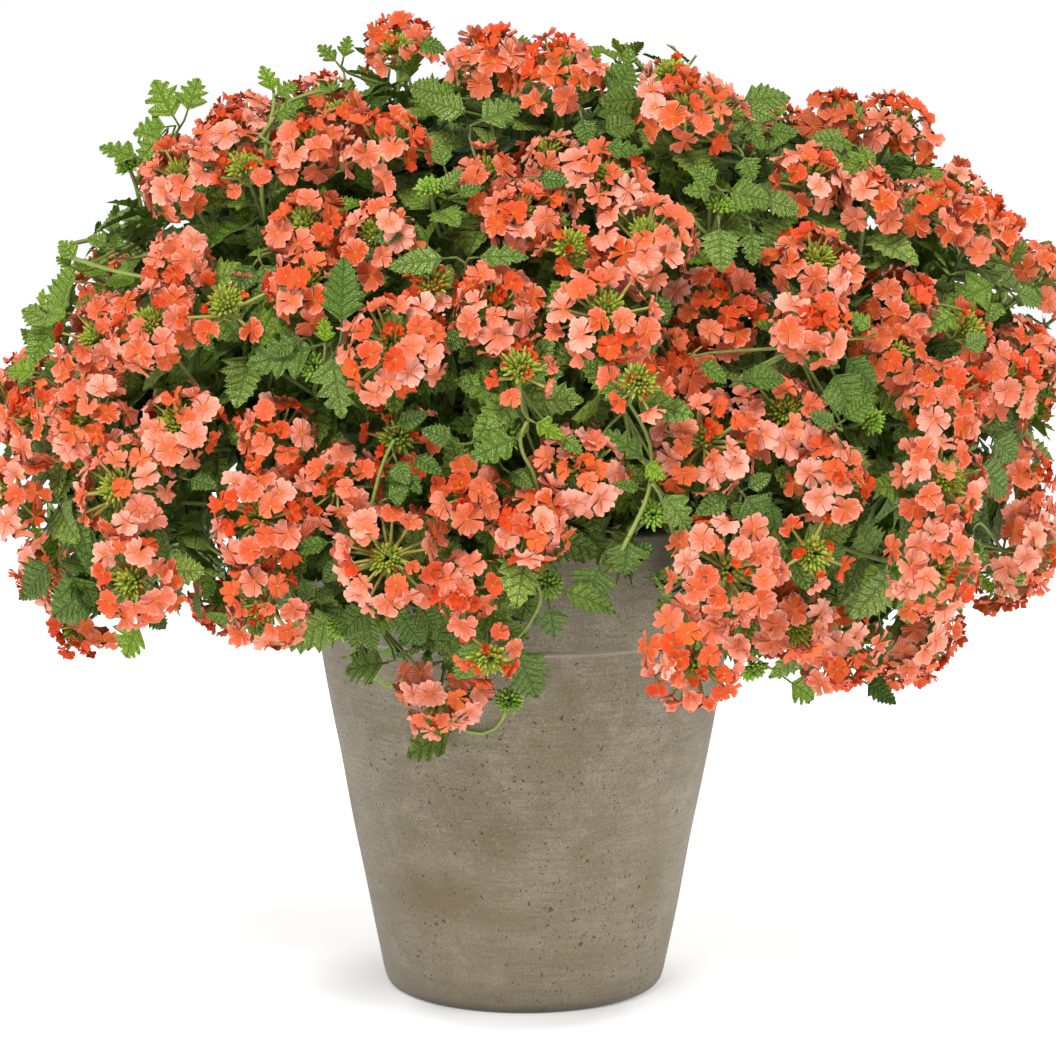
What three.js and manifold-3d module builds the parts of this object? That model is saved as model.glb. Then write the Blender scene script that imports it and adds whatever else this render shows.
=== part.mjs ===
// A garden verbena in full flower, growing in a tapered stone-coloured pot.
//
// Units are millimetres and +Z is up. The origin is the centre of the pot's underside,
// and the front of the plant faces -Y.
//
// The pot and its soil are turned shapes. The plant is divided like the slices of a cake
// into leafy stems, one to a slice: each rises from its own hole in the soil, branches,
// and carries flower stalks, side shoots and toothed leaves, all grown together as one
// body. On the end of each flower stalk sits a head of coral florets, a scalloped ring
// about the stalk, with the green buds of the stalk showing in its middle. Heads that
// touch one another are one body.

import * as THREE from 'three';
import Module from 'manifold-3d';

const wasm = await Module();
wasm.setup();

// ---------------------------------------------------------------- driving dimensions

// Pot
const POT_HEIGHT = 292;
const POT_SIDES = 28;
const POT_BASE_R = 84;
const POT_MID_R = 115;
const POT_MID_Z = 162;
const POT_LINE_R = 125;
const POT_LINE_Z = 223;
const POT_LINE_PROUD = 0.9;
const POT_LINE_HALF = 2;
const POT_RIM_R = 136;
const POT_WALL = 12;
const POT_FLOOR = 22;
const POT_FOOT_EASE = 5;
const POT_FOOT_RISE = 9;
const POT_LIP_EASE = 2.5;
const DRAIN_R = 6;
const DRAIN_RING_R = 42;
const DRAIN_COUNT = 3;
const DRAIN_SIDES = 6;

// Soil
const SOIL_TOP = 262;
const SOIL_SIDES = 14;
const SOIL_BUMP = 3;
const SOIL_SHOULDER = 6;
const SOIL_MIDDLE_R = 62;
const SOIL_SEED = 515;
const FIT_GAP = 0.35;

// The mound of foliage, a rounded block that narrows to its skirt below the pot's rim
const MOUND_MID_Z = 345;
const MOUND_HALF_X = 330;
const MOUND_HALF_Y = 262;
const MOUND_RISE = 245;
const MOUND_DROP = 170;
const MOUND_POWER = 2.2;
const LOOK_OUT = 0.85;
const LOOK_UP = 0.34;

// Slices of the plant, each with one leafy stem
const SLICES = 10;
const SLICE_START = -108 * Math.PI / 180;
const SLICE_MARGIN = 8.5;
const LIMB_SIDES = 4;
const CROWN_THICK = 4.4;
const LIMB_THICK = 3.1;
const STALK_SIDES = 3;
const STALK_THICK = 2;
const STALK_ROOT = 1;
const STALK_TURN = 0.68;
const STALK_BACK = -0.2;
const STALK_STRAIGHT = [40, 34, 28, 22];
const STALK_GAPS = [6, 3, 0];
const BRANCH_SHARES = [0.2, 0.45, 0.7];
const BARE_STEM = 60;

// Limbs of a leafy stem, as distance from the pot's axis and height. The first one is
// the main stem, rooted in the soil, and the others branch from it.
const LIMBS = [
  [[42, 176], [42, 290], [54, 390], [84, 462], [98, 516]],
  [[45, 316], [150, 384], [224, 392]],
  [[42, 282], [104, 330], [168, 340], [208, 298]],
];

// Flower heads, as radius and height for a head of the full radius
const HEAD_FULL_R = 30;
const HEAD_THROAT = [10, 20];
const HEAD_EYE = [20, 12.5];
const HEAD_RIM_Z = 4;
const HEAD_UNDER = 8;
const HEAD_WIDE_R = 32;
const HEAD_HOLE_R = 5.6;
const FLORET_NOTCH = 0.12;
const STAR_R = 4.4;
const STAR_RIM_Z = 19.5;
const STAR_MIDDLE_Z = 17;
const NECK_GAP = 3.5;

// How the heads are spread over the plant and joined into bunches
const LAYOUT_SEED = 20417;
const HEAD_NODES = 48;
const HEADS_IN_ALL = 128;
const BACK_TRIES = 4000;
const BACK_SPACING = 70;
const BACK_FACING = 0.08;
const BACK_HEIGHTS = [196, 588];
const BACK_RADII = [22, 31];
const HEAD_TOUCH = 0.83;
const HEAD_LEAN = 0.36;
const BUNCH_LEAN = 0.12;
const HEAD_APART = 1.5;
const BUNCH_LIMIT = 8;
const BUNCH_GAP = 12;
const LOOSE_LIMIT = 2;
const BUNCH_CLOSE = 0.9;
const SETTLE_ROUNDS = 160;
const SETTLE_LAST = 30;
const HOME_PULL = 0.02;
const HEAD_OFF_POT = 10;
const HEAD_OFF_RIM = 40;
const HEAD_OFF_AXIS = 30;

// Side shoots: stalks that end in a few green buds
const SHOOTS_IN_ALL = 14;
const SHOOT_SPACING = 44;
const SHOOT_R = 15;
const SHOOT_SUNK = 5;
const SHOOT_NECK = 10;
const SHOOT_STAR_R = 4.6;
const SHOOT_STAR_Z = 2;
const SHOOT_TIP_Z = 6;

// Leaves. The outline is half a leaf, as share of the length and of the half width.
const LEAF_SEED = 7091;
const LEAF_ROUNDS = 16;
const LEAF_THICK = 1.4;
const LEAF_LENGTHS = [36, 50];
const LEAF_HALF = 0.36;
const LEAF_FOLD = 0.34;
const LEAF_ARCH = 0.22;
const LEAF_EDGE = [[0.30, 1.0], [0.46, 0.62], [0.66, 0.80]];
const LEAVES_IN_SLICE = 6;
const LEAF_SPACING = 27;

// The gap that a growing stalk or leaf keeps to the heads, the pot and its slice's sides
const STALK_CLEAR = { heads: 3, pot: 3.5, sides: 2.6 };
const LEAF_CLEAR = { heads: 1.5, pot: 4, sides: 1.2, stalks: 3.6 };
const PROBE_STEP = 5;

// The heads on the front half are set out on an upright plane through the pot's axis,
// and sent onto the mound along lines that meet at this point in front of the pot.
const SIGHT_POINT = [0, -2300, 620];
const SIGHT_FROM_Y = -360;
const SIGHT_TO_Y = 40;
const SIGHT_STEP = 4;

// The upper outline of the plant on that plane, as across and up. The heads at the back
// are drawn in towards the mound's middle until they are below it.
const OUTLINE = [
  [-345, 330], [-314, 385], [-296, 425], [-262, 450], [-240, 490], [-205, 525],
  [-170, 548], [-110, 562], [-90, 578], [-25, 584], [45, 570], [100, 568],
  [112, 545], [160, 534], [205, 545], [240, 545], [259, 516], [286, 469], [320, 452],
  [345, 440],
];
const OUTLINE_WIDE = 0.7;
const DRAW_IN = 0.98;
const DRAW_LEAST = 0.7;

// Each head: across, up, breadth, and how far it is sunk into the mound
const FRONT_HEADS = [
  [-172, 521, 46, 0], [-204, 481, 52, 0], [-164, 479, 42, 10], [-128, 505, 46, 6],
  [-267, 404, 62, 0], [-217, 392, 54, 0], [-208, 436, 46, 8], [-172, 405, 56, 4],
  [-126, 458, 50, 12], [-86, 454, 50, 0], [-133, 426, 50, 2], [-81, 509, 54, 0],
  [-107, 535, 36, 24], [-76, 394, 62, 0], [-76, 566, 38, 0], [-25, 556, 48, 0],
  [23, 543, 56, 0], [85, 551, 40, 0], [96, 514, 58, 0], [-21, 497, 40, 12],
  [22, 507, 40, 10], [49, 486, 54, 0], [2, 466, 48, 6], [68, 453, 58, 0],
  [35, 436, 42, 4], [-17, 412, 54, 0], [-55, 416, 36, 8], [46, 400, 62, 0],
  [-3, 372, 44, 6], [113, 412, 58, 0], [229, 519, 54, 0], [181, 533, 42, 20],
  [164, 494, 48, 0], [206, 473, 42, 6], [238, 468, 44, 4], [227, 421, 50, 0],
  [169, 432, 54, 0], [169, 396, 46, 4], [275, 454, 48, 0], [305, 440, 50, 0],
  [305, 384, 46, 0], [270, 407, 44, 4], [100, 380, 48, 20], [108, 337, 62, 0],
  [157, 342, 54, 2], [250, 345, 56, 0], [299, 364, 48, 4], [232, 380, 40, 16],
  [184, 296, 50, 0], [238, 295, 56, 0], [293, 266, 52, 0], [305, 305, 46, 4],
  [110, 259, 64, 0], [157, 261, 50, 4], [83, 210, 60, 0], [160, 219, 50, 2],
  [223, 254, 60, 0], [191, 206, 54, 0], [251, 211, 60, 0], [-302, 343, 50, 0],
  [-269, 338, 56, 0], [-209, 340, 52, 0], [-157, 336, 50, 0], [-232, 295, 62, 0],
  [-161, 287, 60, 0], [-214, 250, 56, 0], [-111, 302, 50, 0], [-148, 227, 52, 0],
  [-295, 293, 52, 0], [-306, 256, 46, 4], [-90, 337, 48, 8], [-79, 260, 64, 0],
  [-33, 240, 44, 6], [10, 288, 46, 0], [47, 295, 54, 0], [-26, 298, 44, 18],
  [-52, 179, 54, 0], [-17, 207, 42, 2], [62, 355, 42, 8],
];

// Each side shoot: across and up
const FRONT_SHOOTS = [
  [118, 476], [82, 301], [-122, 385], [-59, 486], [-238, 500], [-17, 332],
  [205, 334], [-112, 214], [14, 243], [140, 186], [-268, 240],
];

// ---------------------------------------------------------------- arithmetic

// A seeded generator, so that every build grows the same plant
function seededDraws(seed) {
  let state = seed >>> 0;
  return () => {
    state = (state + 0x6D2B79F5) >>> 0;
    let t = state;
    t = Math.imul(t ^ (t >>> 15), t | 1);
    t ^= t + Math.imul(t ^ (t >>> 7), t | 61);
    return ((t ^ (t >>> 14)) >>> 0) / 4294967296;
  };
}

const add = (a, b) => [a[0] + b[0], a[1] + b[1], a[2] + b[2]];
const sub = (a, b) => [a[0] - b[0], a[1] - b[1], a[2] - b[2]];
const times = (a, k) => [a[0] * k, a[1] * k, a[2] * k];
const dot = (a, b) => a[0] * b[0] + a[1] * b[1] + a[2] * b[2];
const cross = (a, b) => [
  a[1] * b[2] - a[2] * b[1],
  a[2] * b[0] - a[0] * b[2],
  a[0] * b[1] - a[1] * b[0],
];
const span = (a) => Math.sqrt(dot(a, a));
const unit = (a) => times(a, 1 / span(a));
const mix = (a, b, t) => add(times(a, 1 - t), times(b, t));
const between = ([low, high], t) => low + (high - low) * t;
const fromAxis = (p) => Math.sqrt(p[0] * p[0] + p[1] * p[1]);

// Two directions square to an axis and to each other
function squareTo(axis) {
  const help = Math.abs(axis[2]) < 0.9 ? [0, 0, 1] : [0, 1, 0];
  const u = unit(cross(help, axis));
  return [u, cross(axis, u)];
}

// ---------------------------------------------------------------- mound and slices

// 1 on the mound's surface, less inside it
function moundLevel(p) {
  const rise = p[2] - MOUND_MID_Z;
  const half = rise > 0 ? MOUND_RISE : MOUND_DROP;
  return Math.pow(Math.abs(p[0]) / MOUND_HALF_X, MOUND_POWER)
    + Math.pow(Math.abs(p[1]) / MOUND_HALF_Y, MOUND_POWER)
    + Math.pow(Math.abs(rise) / half, MOUND_POWER);
}

function moundOutward(p) {
  const rise = p[2] - MOUND_MID_Z;
  const half = rise > 0 ? MOUND_RISE : MOUND_DROP;
  const slope = (value, size) =>
    Math.sign(value) * Math.pow(Math.abs(value) / size, MOUND_POWER - 1) / size;
  return unit([slope(p[0], MOUND_HALF_X), slope(p[1], MOUND_HALF_Y), slope(rise, half)]);
}

// The way a head at a point of the mound looks: outwards and somewhat up
function outlook(p) {
  return unit(add(times(moundOutward(p), LOOK_OUT), [0, 0, LOOK_UP]));
}

// Where a line of sight through a point of the setting-out plane meets the mound
function ontoMound(across, up, sunk) {
  const along = sub([across, 0, up], SIGHT_POINT);
  let lowest = Infinity;
  let spot = null;
  for (let y = SIGHT_FROM_Y; y <= SIGHT_TO_Y; y += SIGHT_STEP) {
    const p = add(SIGHT_POINT, times(along, (y - SIGHT_POINT[1]) / along[1]));
    const level = moundLevel(p);
    if (level < lowest) {
      lowest = level;
      spot = p;
    }
    if (level <= 1) break;
  }
  return sub(spot, times(moundOutward(spot), sunk));
}

// A point on the mound at a turn about the axis and a height
function aroundMound(turn, z) {
  const rise = z - MOUND_MID_Z;
  const half = rise > 0 ? MOUND_RISE : MOUND_DROP;
  const left = 1 - Math.pow(Math.abs(rise) / half, MOUND_POWER);
  const x = Math.cos(turn);
  const y = Math.sin(turn);
  const reach = Math.pow(Math.abs(x) / MOUND_HALF_X, MOUND_POWER)
    + Math.pow(Math.abs(y) / MOUND_HALF_Y, MOUND_POWER);
  const r = Math.pow(left / reach, 1 / MOUND_POWER);
  return [x * r, y * r, z];
}

// The height of the plant's upper outline on the setting-out plane
function outlineAt(across) {
  const next = OUTLINE.findIndex(([x]) => x > across);
  if (next === 0) return OUTLINE[0][1];
  if (next < 0) return OUTLINE[OUTLINE.length - 1][1];
  const [x0, z0] = OUTLINE[next - 1];
  const [x1, z1] = OUTLINE[next];
  return between([z0, z1], (across - x0) / (x1 - x0));
}

// True where a head is below the outline, as seen from the front
function belowOutline(p, r) {
  const seen = SIGHT_POINT[1] / (SIGHT_POINT[1] - p[1]);
  const across = p[0] * seen;
  const up = SIGHT_POINT[2] + (p[2] - SIGHT_POINT[2]) * seen;
  return [-OUTLINE_WIDE, 0, OUTLINE_WIDE].every((share) => {
    const high = r * seen * Math.sqrt(1 - share * share);
    return up + high <= outlineAt(across + share * r * seen);
  });
}

// Draws a point of the mound in towards the mound's middle until it is below the outline
function drawnIn(p, r) {
  const middle = [0, 0, MOUND_MID_Z];
  for (let share = 1; share > DRAW_LEAST; share *= DRAW_IN) {
    const q = mix(middle, p, share);
    if (belowOutline(q, r)) return q;
  }
  return null;
}

const SLICE_TURN = 2 * Math.PI / SLICES;

function sliceOf(p) {
  const turn = Math.atan2(p[1], p[0]) - SLICE_START + 4 * Math.PI;
  return Math.floor(turn / SLICE_TURN) % SLICES;
}

// Inward facing normals of a slice's two upright sides
function sliceSides(slice) {
  const first = SLICE_START + slice * SLICE_TURN;
  const last = first + SLICE_TURN;
  return [
    [-Math.sin(first), Math.cos(first), 0],
    [Math.sin(last), -Math.cos(last), 0],
  ];
}

function insideSlice(p, slice, margin) {
  return sliceSides(slice).every((side) => dot(p, side) >= margin);
}

function potRadius(z) {
  if (z < POT_MID_Z) return POT_BASE_R + (POT_MID_R - POT_BASE_R) * z / POT_MID_Z;
  if (z < POT_LINE_Z) {
    return POT_MID_R + (POT_LINE_R - POT_MID_R) * (z - POT_MID_Z) / (POT_LINE_Z - POT_MID_Z);
  }
  return POT_LINE_R + (POT_RIM_R - POT_LINE_R) * (z - POT_LINE_Z) / (POT_HEIGHT - POT_LINE_Z);
}

function clearOfPot(p, margin) {
  const r = fromAxis(p);
  if (p[2] > POT_HEIGHT + margin) return true;
  if (r > potRadius(p[2]) + margin) return true;
  return p[2] > SOIL_TOP + SOIL_BUMP + margin && r < potRadius(p[2]) - POT_WALL - margin;
}

// ---------------------------------------------------------------- setting out the plant

function setOut() {
  const draw = seededDraws(LAYOUT_SEED);
  const heads = [];
  for (const [across, up, breadth, sunk] of FRONT_HEADS) {
    const at = ontoMound(across, up, sunk);
    heads.push({ at, home: at, r: breadth / 2, flower: true });
  }
  for (const [across, up] of FRONT_SHOOTS) {
    const at = ontoMound(across, up, SHOOT_SUNK);
    heads.push({ at, home: at, r: SHOOT_R, flower: false });
  }
  let flowers = FRONT_HEADS.length;
  let shoots = FRONT_SHOOTS.length;
  for (let tries = 0; tries < BACK_TRIES; tries++) {
    const turn = 2 * Math.PI * draw();
    const z = between(BACK_HEIGHTS, draw());
    const r = between(BACK_RADII, draw());
    const full = flowers === HEADS_IN_ALL;
    const at = drawnIn(aroundMound(turn, z), full ? SHOOT_R : r);
    if (!at || dot(moundOutward(at), unit(sub(SIGHT_POINT, at))) > BACK_FACING) continue;
    const near = Math.min(...heads.map((h) => span(sub(h.at, at))));
    if (near > BACK_SPACING && !full) {
      heads.push({ at, home: at, r, flower: true });
      flowers += 1;
    } else if (near > SHOOT_SPACING && full && shoots < SHOOTS_IN_ALL) {
      const low = sub(at, times(moundOutward(at), SHOOT_SUNK));
      heads.push({ at: low, home: low, r: SHOOT_R, flower: false });
      shoots += 1;
    }
  }
  for (const head of heads) {
    head.spin = draw() * 2 * Math.PI;
    head.lean = [draw() - 0.5, draw() - 0.5, draw() - 0.5];
  }
  return heads;
}

// Neighbouring flower heads are joined into bunches until few enough bunches are left
function joinBunches(heads) {
  const bunch = heads.map((_, i) => i);
  const size = heads.map(() => 1);
  const find = (i) => (bunch[i] === i ? i : find(bunch[i]));
  const pairs = [];
  heads.forEach((a, i) => {
    heads.forEach((b, j) => {
      if (j <= i || !a.flower || !b.flower) return;
      const gap = span(sub(a.home, b.home)) - a.r - b.r;
      pairs.push({ i, j, gap });
    });
  });
  pairs.sort((p, q) => p.gap - q.gap);
  let left = heads.filter((h) => h.flower).length;
  const links = [];
  for (const { i, j, gap } of pairs) {
    if (left <= HEAD_NODES) break;
    const a = find(i);
    const b = find(j);
    const limit = gap < BUNCH_GAP ? BUNCH_LIMIT : LOOSE_LIMIT;
    if (a === b || size[a] + size[b] > limit) continue;
    bunch[b] = a;
    size[a] += size[b];
    links.push([i, j]);
    left -= 1;
  }
  heads.forEach((head, i) => {
    head.bunch = head.flower ? find(i) : -1 - i;
    head.joined = head.flower && size[find(i)] > 1;
  });
  return links;
}

// Linked heads are drawn together until they touch and all others are moved apart
function settle(heads, links) {
  const linked = new Set(links.map(([i, j]) => i * 1000 + j));
  for (let round = 0; round < SETTLE_ROUNDS; round++) {
    for (let i = 0; i < heads.length; i++) {
      for (let j = i + 1; j < heads.length; j++) {
        const a = heads[i];
        const b = heads[j];
        const apart = sub(b.at, a.at);
        const gap = span(apart);
        const reach = a.r + b.r;
        let move = 0;
        if (linked.has(i * 1000 + j)) {
          move = 0.3 * (gap - HEAD_TOUCH * reach);
          const out = unit(add(outlook(a.at), outlook(b.at)));
          const step = times(out, 0.4 * dot(apart, out));
          a.at = add(a.at, step);
          b.at = sub(b.at, step);
        } else if (a.bunch === b.bunch) {
          move = Math.min(0, 0.4 * (gap - BUNCH_CLOSE * reach));
        } else {
          move = Math.min(0, 0.5 * (gap - reach - HEAD_APART));
        }
        if (move !== 0) {
          const step = times(apart, move / gap);
          a.at = add(a.at, step);
          b.at = sub(b.at, step);
        }
      }
    }
    const last = round > SETTLE_ROUNDS - SETTLE_LAST;
    for (const head of heads) {
      if (!last) head.at = mix(head.at, head.home, HOME_PULL);
      keepPlaced(head);
    }
  }
  // A head still too near a stranger is made smaller
  for (let i = 0; i < heads.length; i++) {
    for (let j = i + 1; j < heads.length; j++) {
      const a = heads[i];
      const b = heads[j];
      if (a.bunch === b.bunch) continue;
      const room = span(sub(b.at, a.at)) - 1;
      if (a.r + b.r > room) {
        const k = room / (a.r + b.r);
        a.r *= k;
        b.r *= k;
      }
    }
  }
}

// Keeps a head off the sides of its slice, the pot's axis and the pot
function keepPlaced(head) {
  const r = fromAxis(head.at);
  const low = head.at[2] < POT_HEIGHT + HEAD_OFF_RIM;
  const least = low ? POT_RIM_R + head.r + HEAD_OFF_POT : HEAD_OFF_AXIS;
  if (r < least) {
    const k = 0.5 * (least - r) / r;
    head.at = add(head.at, [head.at[0] * k, head.at[1] * k, 0]);
  }
  if (head.slice === undefined) head.slice = sliceOf(head.at);
  for (const side of sliceSides(head.slice)) {
    const depth = dot(head.at, side);
    if (depth < SLICE_MARGIN) head.at = add(head.at, times(side, SLICE_MARGIN - depth));
  }
}

// True where a point is in a head or closer to it than the margin
function inHead(p, head, margin) {
  const d = sub(p, head.at);
  const far = span(d);
  if (far > head.r + margin + HEAD_RIM_Z) return false;
  const s = head.r / HEAD_FULL_R;
  const h = dot(d, head.axis);
  const out = Math.sqrt(Math.max(0, far * far - h * h));
  if (out > head.r + margin) return false;
  const rise = (HEAD_UNDER + HEAD_RIM_Z) * s * out / head.r;
  const under = (head.flower ? rise - HEAD_UNDER * s : -HEAD_UNDER) - margin;
  return h > under && h < (HEAD_THROAT[1] + HEAD_RIM_Z) * s + margin;
}

function clearOfHeads(p, heads, own, margin) {
  return heads.every((head) => head === own || !inHead(p, head, margin));
}

function lineIsClear(from, to, heads, own, slice) {
  const steps = Math.ceil(span(sub(to, from)) / PROBE_STEP);
  for (let i = 0; i <= steps; i++) {
    const p = mix(from, to, i / steps);
    if (!insideSlice(p, slice, STALK_CLEAR.sides)) return false;
    if (!clearOfPot(p, STALK_CLEAR.pot)) return false;
    if (!clearOfHeads(p, heads, own, STALK_CLEAR.heads)) return false;
  }
  return true;
}

function limbLine(slice, limb) {
  const turn = SLICE_START + (slice + 0.5) * SLICE_TURN;
  return LIMBS[limb].map(([r, z]) => [r * Math.cos(turn), r * Math.sin(turn), z]);
}

// The limbs of a slice as separate straight lengths
function limbLengths(slice) {
  const lengths = [];
  LIMBS.forEach((_, limb) => {
    const line = limbLine(slice, limb);
    for (let i = 0; i + 1 < line.length; i++) {
      const bears = line[i + 1][2] > SOIL_TOP + BARE_STEM;
      lengths.push({ from: line[i], to: line[i + 1], bears });
    }
  });
  return lengths;
}

function farFromLength(p, length) {
  const run = sub(length.to, length.from);
  const t = Math.max(0, Math.min(1, dot(sub(p, length.from), run) / dot(run, run)));
  return span(sub(p, mix(length.from, length.to, t)));
}

// True where a new line branches off cleanly and then keeps off the other lines
function keepsOff(from, to, lengths, least) {
  const long = span(sub(to, from));
  for (let run = 2 * PROBE_STEP; run < long; run += PROBE_STEP) {
    const p = mix(from, to, run / long);
    if (lengths.some((length) => farFromLength(p, length) < least)) return false;
  }
  return true;
}

// Where a stalk may branch off: along the limbs, and from stalks already grown
function branchPoints(lengths) {
  const points = [];
  for (const length of lengths) {
    if (!length.bears) continue;
    for (const t of BRANCH_SHARES) points.push(mix(length.from, length.to, t));
  }
  return points;
}

function chooseAxis(head) {
  const calm = outlook(head.at);
  let axis = unit(add(calm, times(head.lean, head.joined ? BUNCH_LEAN : HEAD_LEAN)));
  const inward = (a) => sub(head.at, times(a, STALK_STRAIGHT[0]));
  const room = 2 * LIMB_THICK / Math.SQRT2;
  for (let i = 0; i < 4 && !insideSlice(inward(axis), head.slice, room); i++) {
    axis = unit(mix(axis, calm, 0.5));
  }
  head.axis = axis;
  [head.u, head.v] = squareTo(axis);
}

// How far below its head a stalk turns onto the head's axis
function neckDepth(head) {
  return head.flower ? HEAD_UNDER * head.r / HEAD_FULL_R + NECK_GAP : SHOOT_NECK;
}

function findStalk(head, heads, lengths, least) {
  for (const straight of STALK_STRAIGHT) {
    const back = sub(head.at, times(head.axis, straight));
    const neck = sub(head.at, times(head.axis, neckDepth(head)));
    if (!lineIsClear(back, neck, heads, head, head.slice)) continue;
    if (lengths.some((length) => farFromLength(back, length) < least)) continue;
    if (!keepsOff(back, neck, lengths, least)) continue;
    const starts = branchPoints(lengths);
    starts.sort((p, q) => span(sub(p, back)) - span(sub(q, back)));
    for (const start of starts) {
      const facing = dot(unit(sub(back, start)), head.axis);
      if (facing < STALK_BACK) continue;
      const line = facing > STALK_TURN ? [start, neck] : [start, back, neck];
      const first = line[1];
      if (keepsOff(start, first, lengths, least)
        && lineIsClear(start, first, heads, head, head.slice)) return line;
    }
  }
  return null;
}

// The lengths of a stalk: another stalk may branch from its first one
function stalkLengths(line) {
  return line.slice(1).map((to, i) => ({ from: line[i], to, bears: i === 0 }));
}

// Chooses which way each head faces, and grows its stalk from a limb or another stalk
function growStalks(heads) {
  heads.forEach(chooseAxis);
  for (let slice = 0; slice < SLICES; slice++) {
    const lengths = limbLengths(slice);
    const near = (head) => Math.min(...limbLengths(slice).map(
      (length) => (length.bears ? farFromLength(head.at, length) : Infinity),
    ));
    const own = heads.filter((head) => head.slice === slice);
    own.sort((a, b) => near(a) - near(b));
    for (const head of own) {
      for (const gap of STALK_GAPS) head.stalk ||= findStalk(head, heads, lengths, gap);
      if (head.stalk) lengths.push(...stalkLengths(head.stalk));
    }
  }
}

// Leaves grow from the straight ends of the stalks, in pairs where there is room
function growLeaves(heads) {
  const draw = seededDraws(LEAF_SEED);
  const leaves = [];
  const lengths = Array.from({ length: SLICES }, (_, slice) => limbLengths(slice));
  for (const head of heads) {
    if (head.stalk) lengths[head.slice].push(...stalkLengths(head.stalk));
  }
  for (let round = 0; round < LEAF_ROUNDS; round++) {
    for (const head of heads) {
      if (!head.stalk) continue;
      const turn = draw() * 2 * Math.PI;
      const length = between(LEAF_LENGTHS, draw());
      const lift = between(head.flower ? [6, 28] : [24, 46], draw());
      const down = between(head.flower ? [10, 22] : [2, 8], draw());
      const roll = between([-0.25, 0.25], draw());
      for (const side of [0, 1]) {
        const grown = leaves.filter((leaf) => leaf.slice === head.slice).length;
        if (grown >= LEAVES_IN_SLICE) continue;
        const away = turn + side * Math.PI;
        const leaf = shapeLeaf(head, away, length, lift * Math.PI / 180, down, roll);
        if (leafFits(leaf, heads, leaves, head, lengths[head.slice])) leaves.push(leaf);
      }
    }
  }
  return leaves;
}

function shapeLeaf(head, turn, length, lift, down, roll) {
  const [before, neck] = head.stalk.slice(-2);
  const foot = mix(neck, before, Math.min(0.6, down / span(sub(before, neck))));
  const flat = add(times(head.u, Math.cos(turn)), times(head.v, Math.sin(turn)));
  const along = add(times(flat, Math.cos(lift)), times(head.axis, Math.sin(lift)));
  const upright = sub(times(head.axis, Math.cos(lift)), times(flat, Math.sin(lift)));
  const across = cross(upright, along);
  const side = add(times(across, Math.cos(roll)), times(upright, Math.sin(roll)));
  const face = cross(along, side);
  const point = (x, y) => {
    const bend = LEAF_FOLD * Math.abs(y) - LEAF_ARCH * x * x / length;
    return add(foot, add(times(along, x), add(times(side, y), times(face, bend))));
  };
  const half = LEAF_HALF * length;
  const left = LEAF_EDGE.map(([x, y]) => point(x * length, y * half));
  const right = LEAF_EDGE.map(([x, y]) => point(x * length, -y * half));
  const middle = point(0.5 * length, 0);
  return { slice: head.slice, foot, tip: point(length, 0), left, right, middle, face };
}

function leafFits(leaf, heads, leaves, head, lengths) {
  const rim = [leaf.tip, ...leaf.left, ...leaf.right];
  const middle = mix(leaf.foot, leaf.tip, 0.55);
  for (const p of [...rim, middle]) {
    if (!insideSlice(p, leaf.slice, LEAF_CLEAR.sides)) return false;
    if (!clearOfPot(p, LEAF_CLEAR.pot)) return false;
    if (!clearOfHeads(p, heads, null, LEAF_CLEAR.heads)) return false;
  }
  for (const p of rim) {
    for (const share of [0.35, 0.6, 0.8, 1]) {
      const q = mix(leaf.foot, p, share);
      if (!clearOfHeads(q, heads, head, LEAF_CLEAR.heads)) return false;
      const near = (length) => farFromLength(q, length) < LEAF_CLEAR.stalks;
      if (lengths.some(near)) return false;
    }
  }
  return leaves.every((other) => span(sub(mix(other.foot, other.tip, 0.55), middle))
    > LEAF_SPACING);
}

// ---------------------------------------------------------------- solids

// Turns corners and three-cornered faces into a closed solid with its faces pointing out
function solid(points, faces) {
  let volume = 0;
  for (const [a, b, c] of faces) volume += dot(points[a], cross(points[b], points[c]));
  const outward = volume > 0 ? faces : faces.map(([a, b, c]) => [a, c, b]);
  return new wasm.Manifold(new wasm.Mesh({
    numProp: 3,
    vertProperties: new Float32Array(points.flat()),
    triVerts: new Uint32Array(outward.flat()),
  }));
}

// A solid through a row of rings. A ring of one point closes an end, and neighbouring
// rings may differ in their number of corners.
function skin(rings) {
  const points = rings.flat();
  const faces = [];
  let base = 0;
  for (let k = 0; k + 1 < rings.length; k++) {
    const n = rings[k].length;
    const m = rings[k + 1].length;
    const next = base + n;
    let i = 0;
    let j = 0;
    while (i < n || j < m) {
      const stepLower = m === 1 || (n > 1 && i < n && (i + 1) / n <= (j + 1) / m);
      if (stepLower && n > 1) {
        faces.push([base + i % n, base + (i + 1) % n, next + j % m]);
        i += 1;
      } else {
        faces.push([base + i % n, next + (j + 1) % m, next + j % m]);
        j += 1;
      }
      if (n === 1 && j === m) break;
      if (m === 1 && i === n) break;
    }
    base = next;
  }
  const cap = (start, n, flip) => {
    for (let i = 1; i + 1 < n; i++) {
      faces.push(flip ? [start, start + i + 1, start + i] : [start, start + i, start + i + 1]);
    }
  };
  cap(0, rings[0].length, true);
  const end = rings[rings.length - 1].length;
  cap(points.length - end, end, false);
  return solid(points, faces);
}

function ring(middle, u, v, radii, spin) {
  return radii.map((r, i) => {
    const turn = spin + i * 2 * Math.PI / radii.length;
    return add(middle, add(times(u, r * Math.cos(turn)), times(v, r * Math.sin(turn))));
  });
}

// Carries a direction round a bend so that a tube doesn't twist
function carry(u, axis) {
  return unit(sub(u, times(axis, dot(u, axis))));
}

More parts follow.
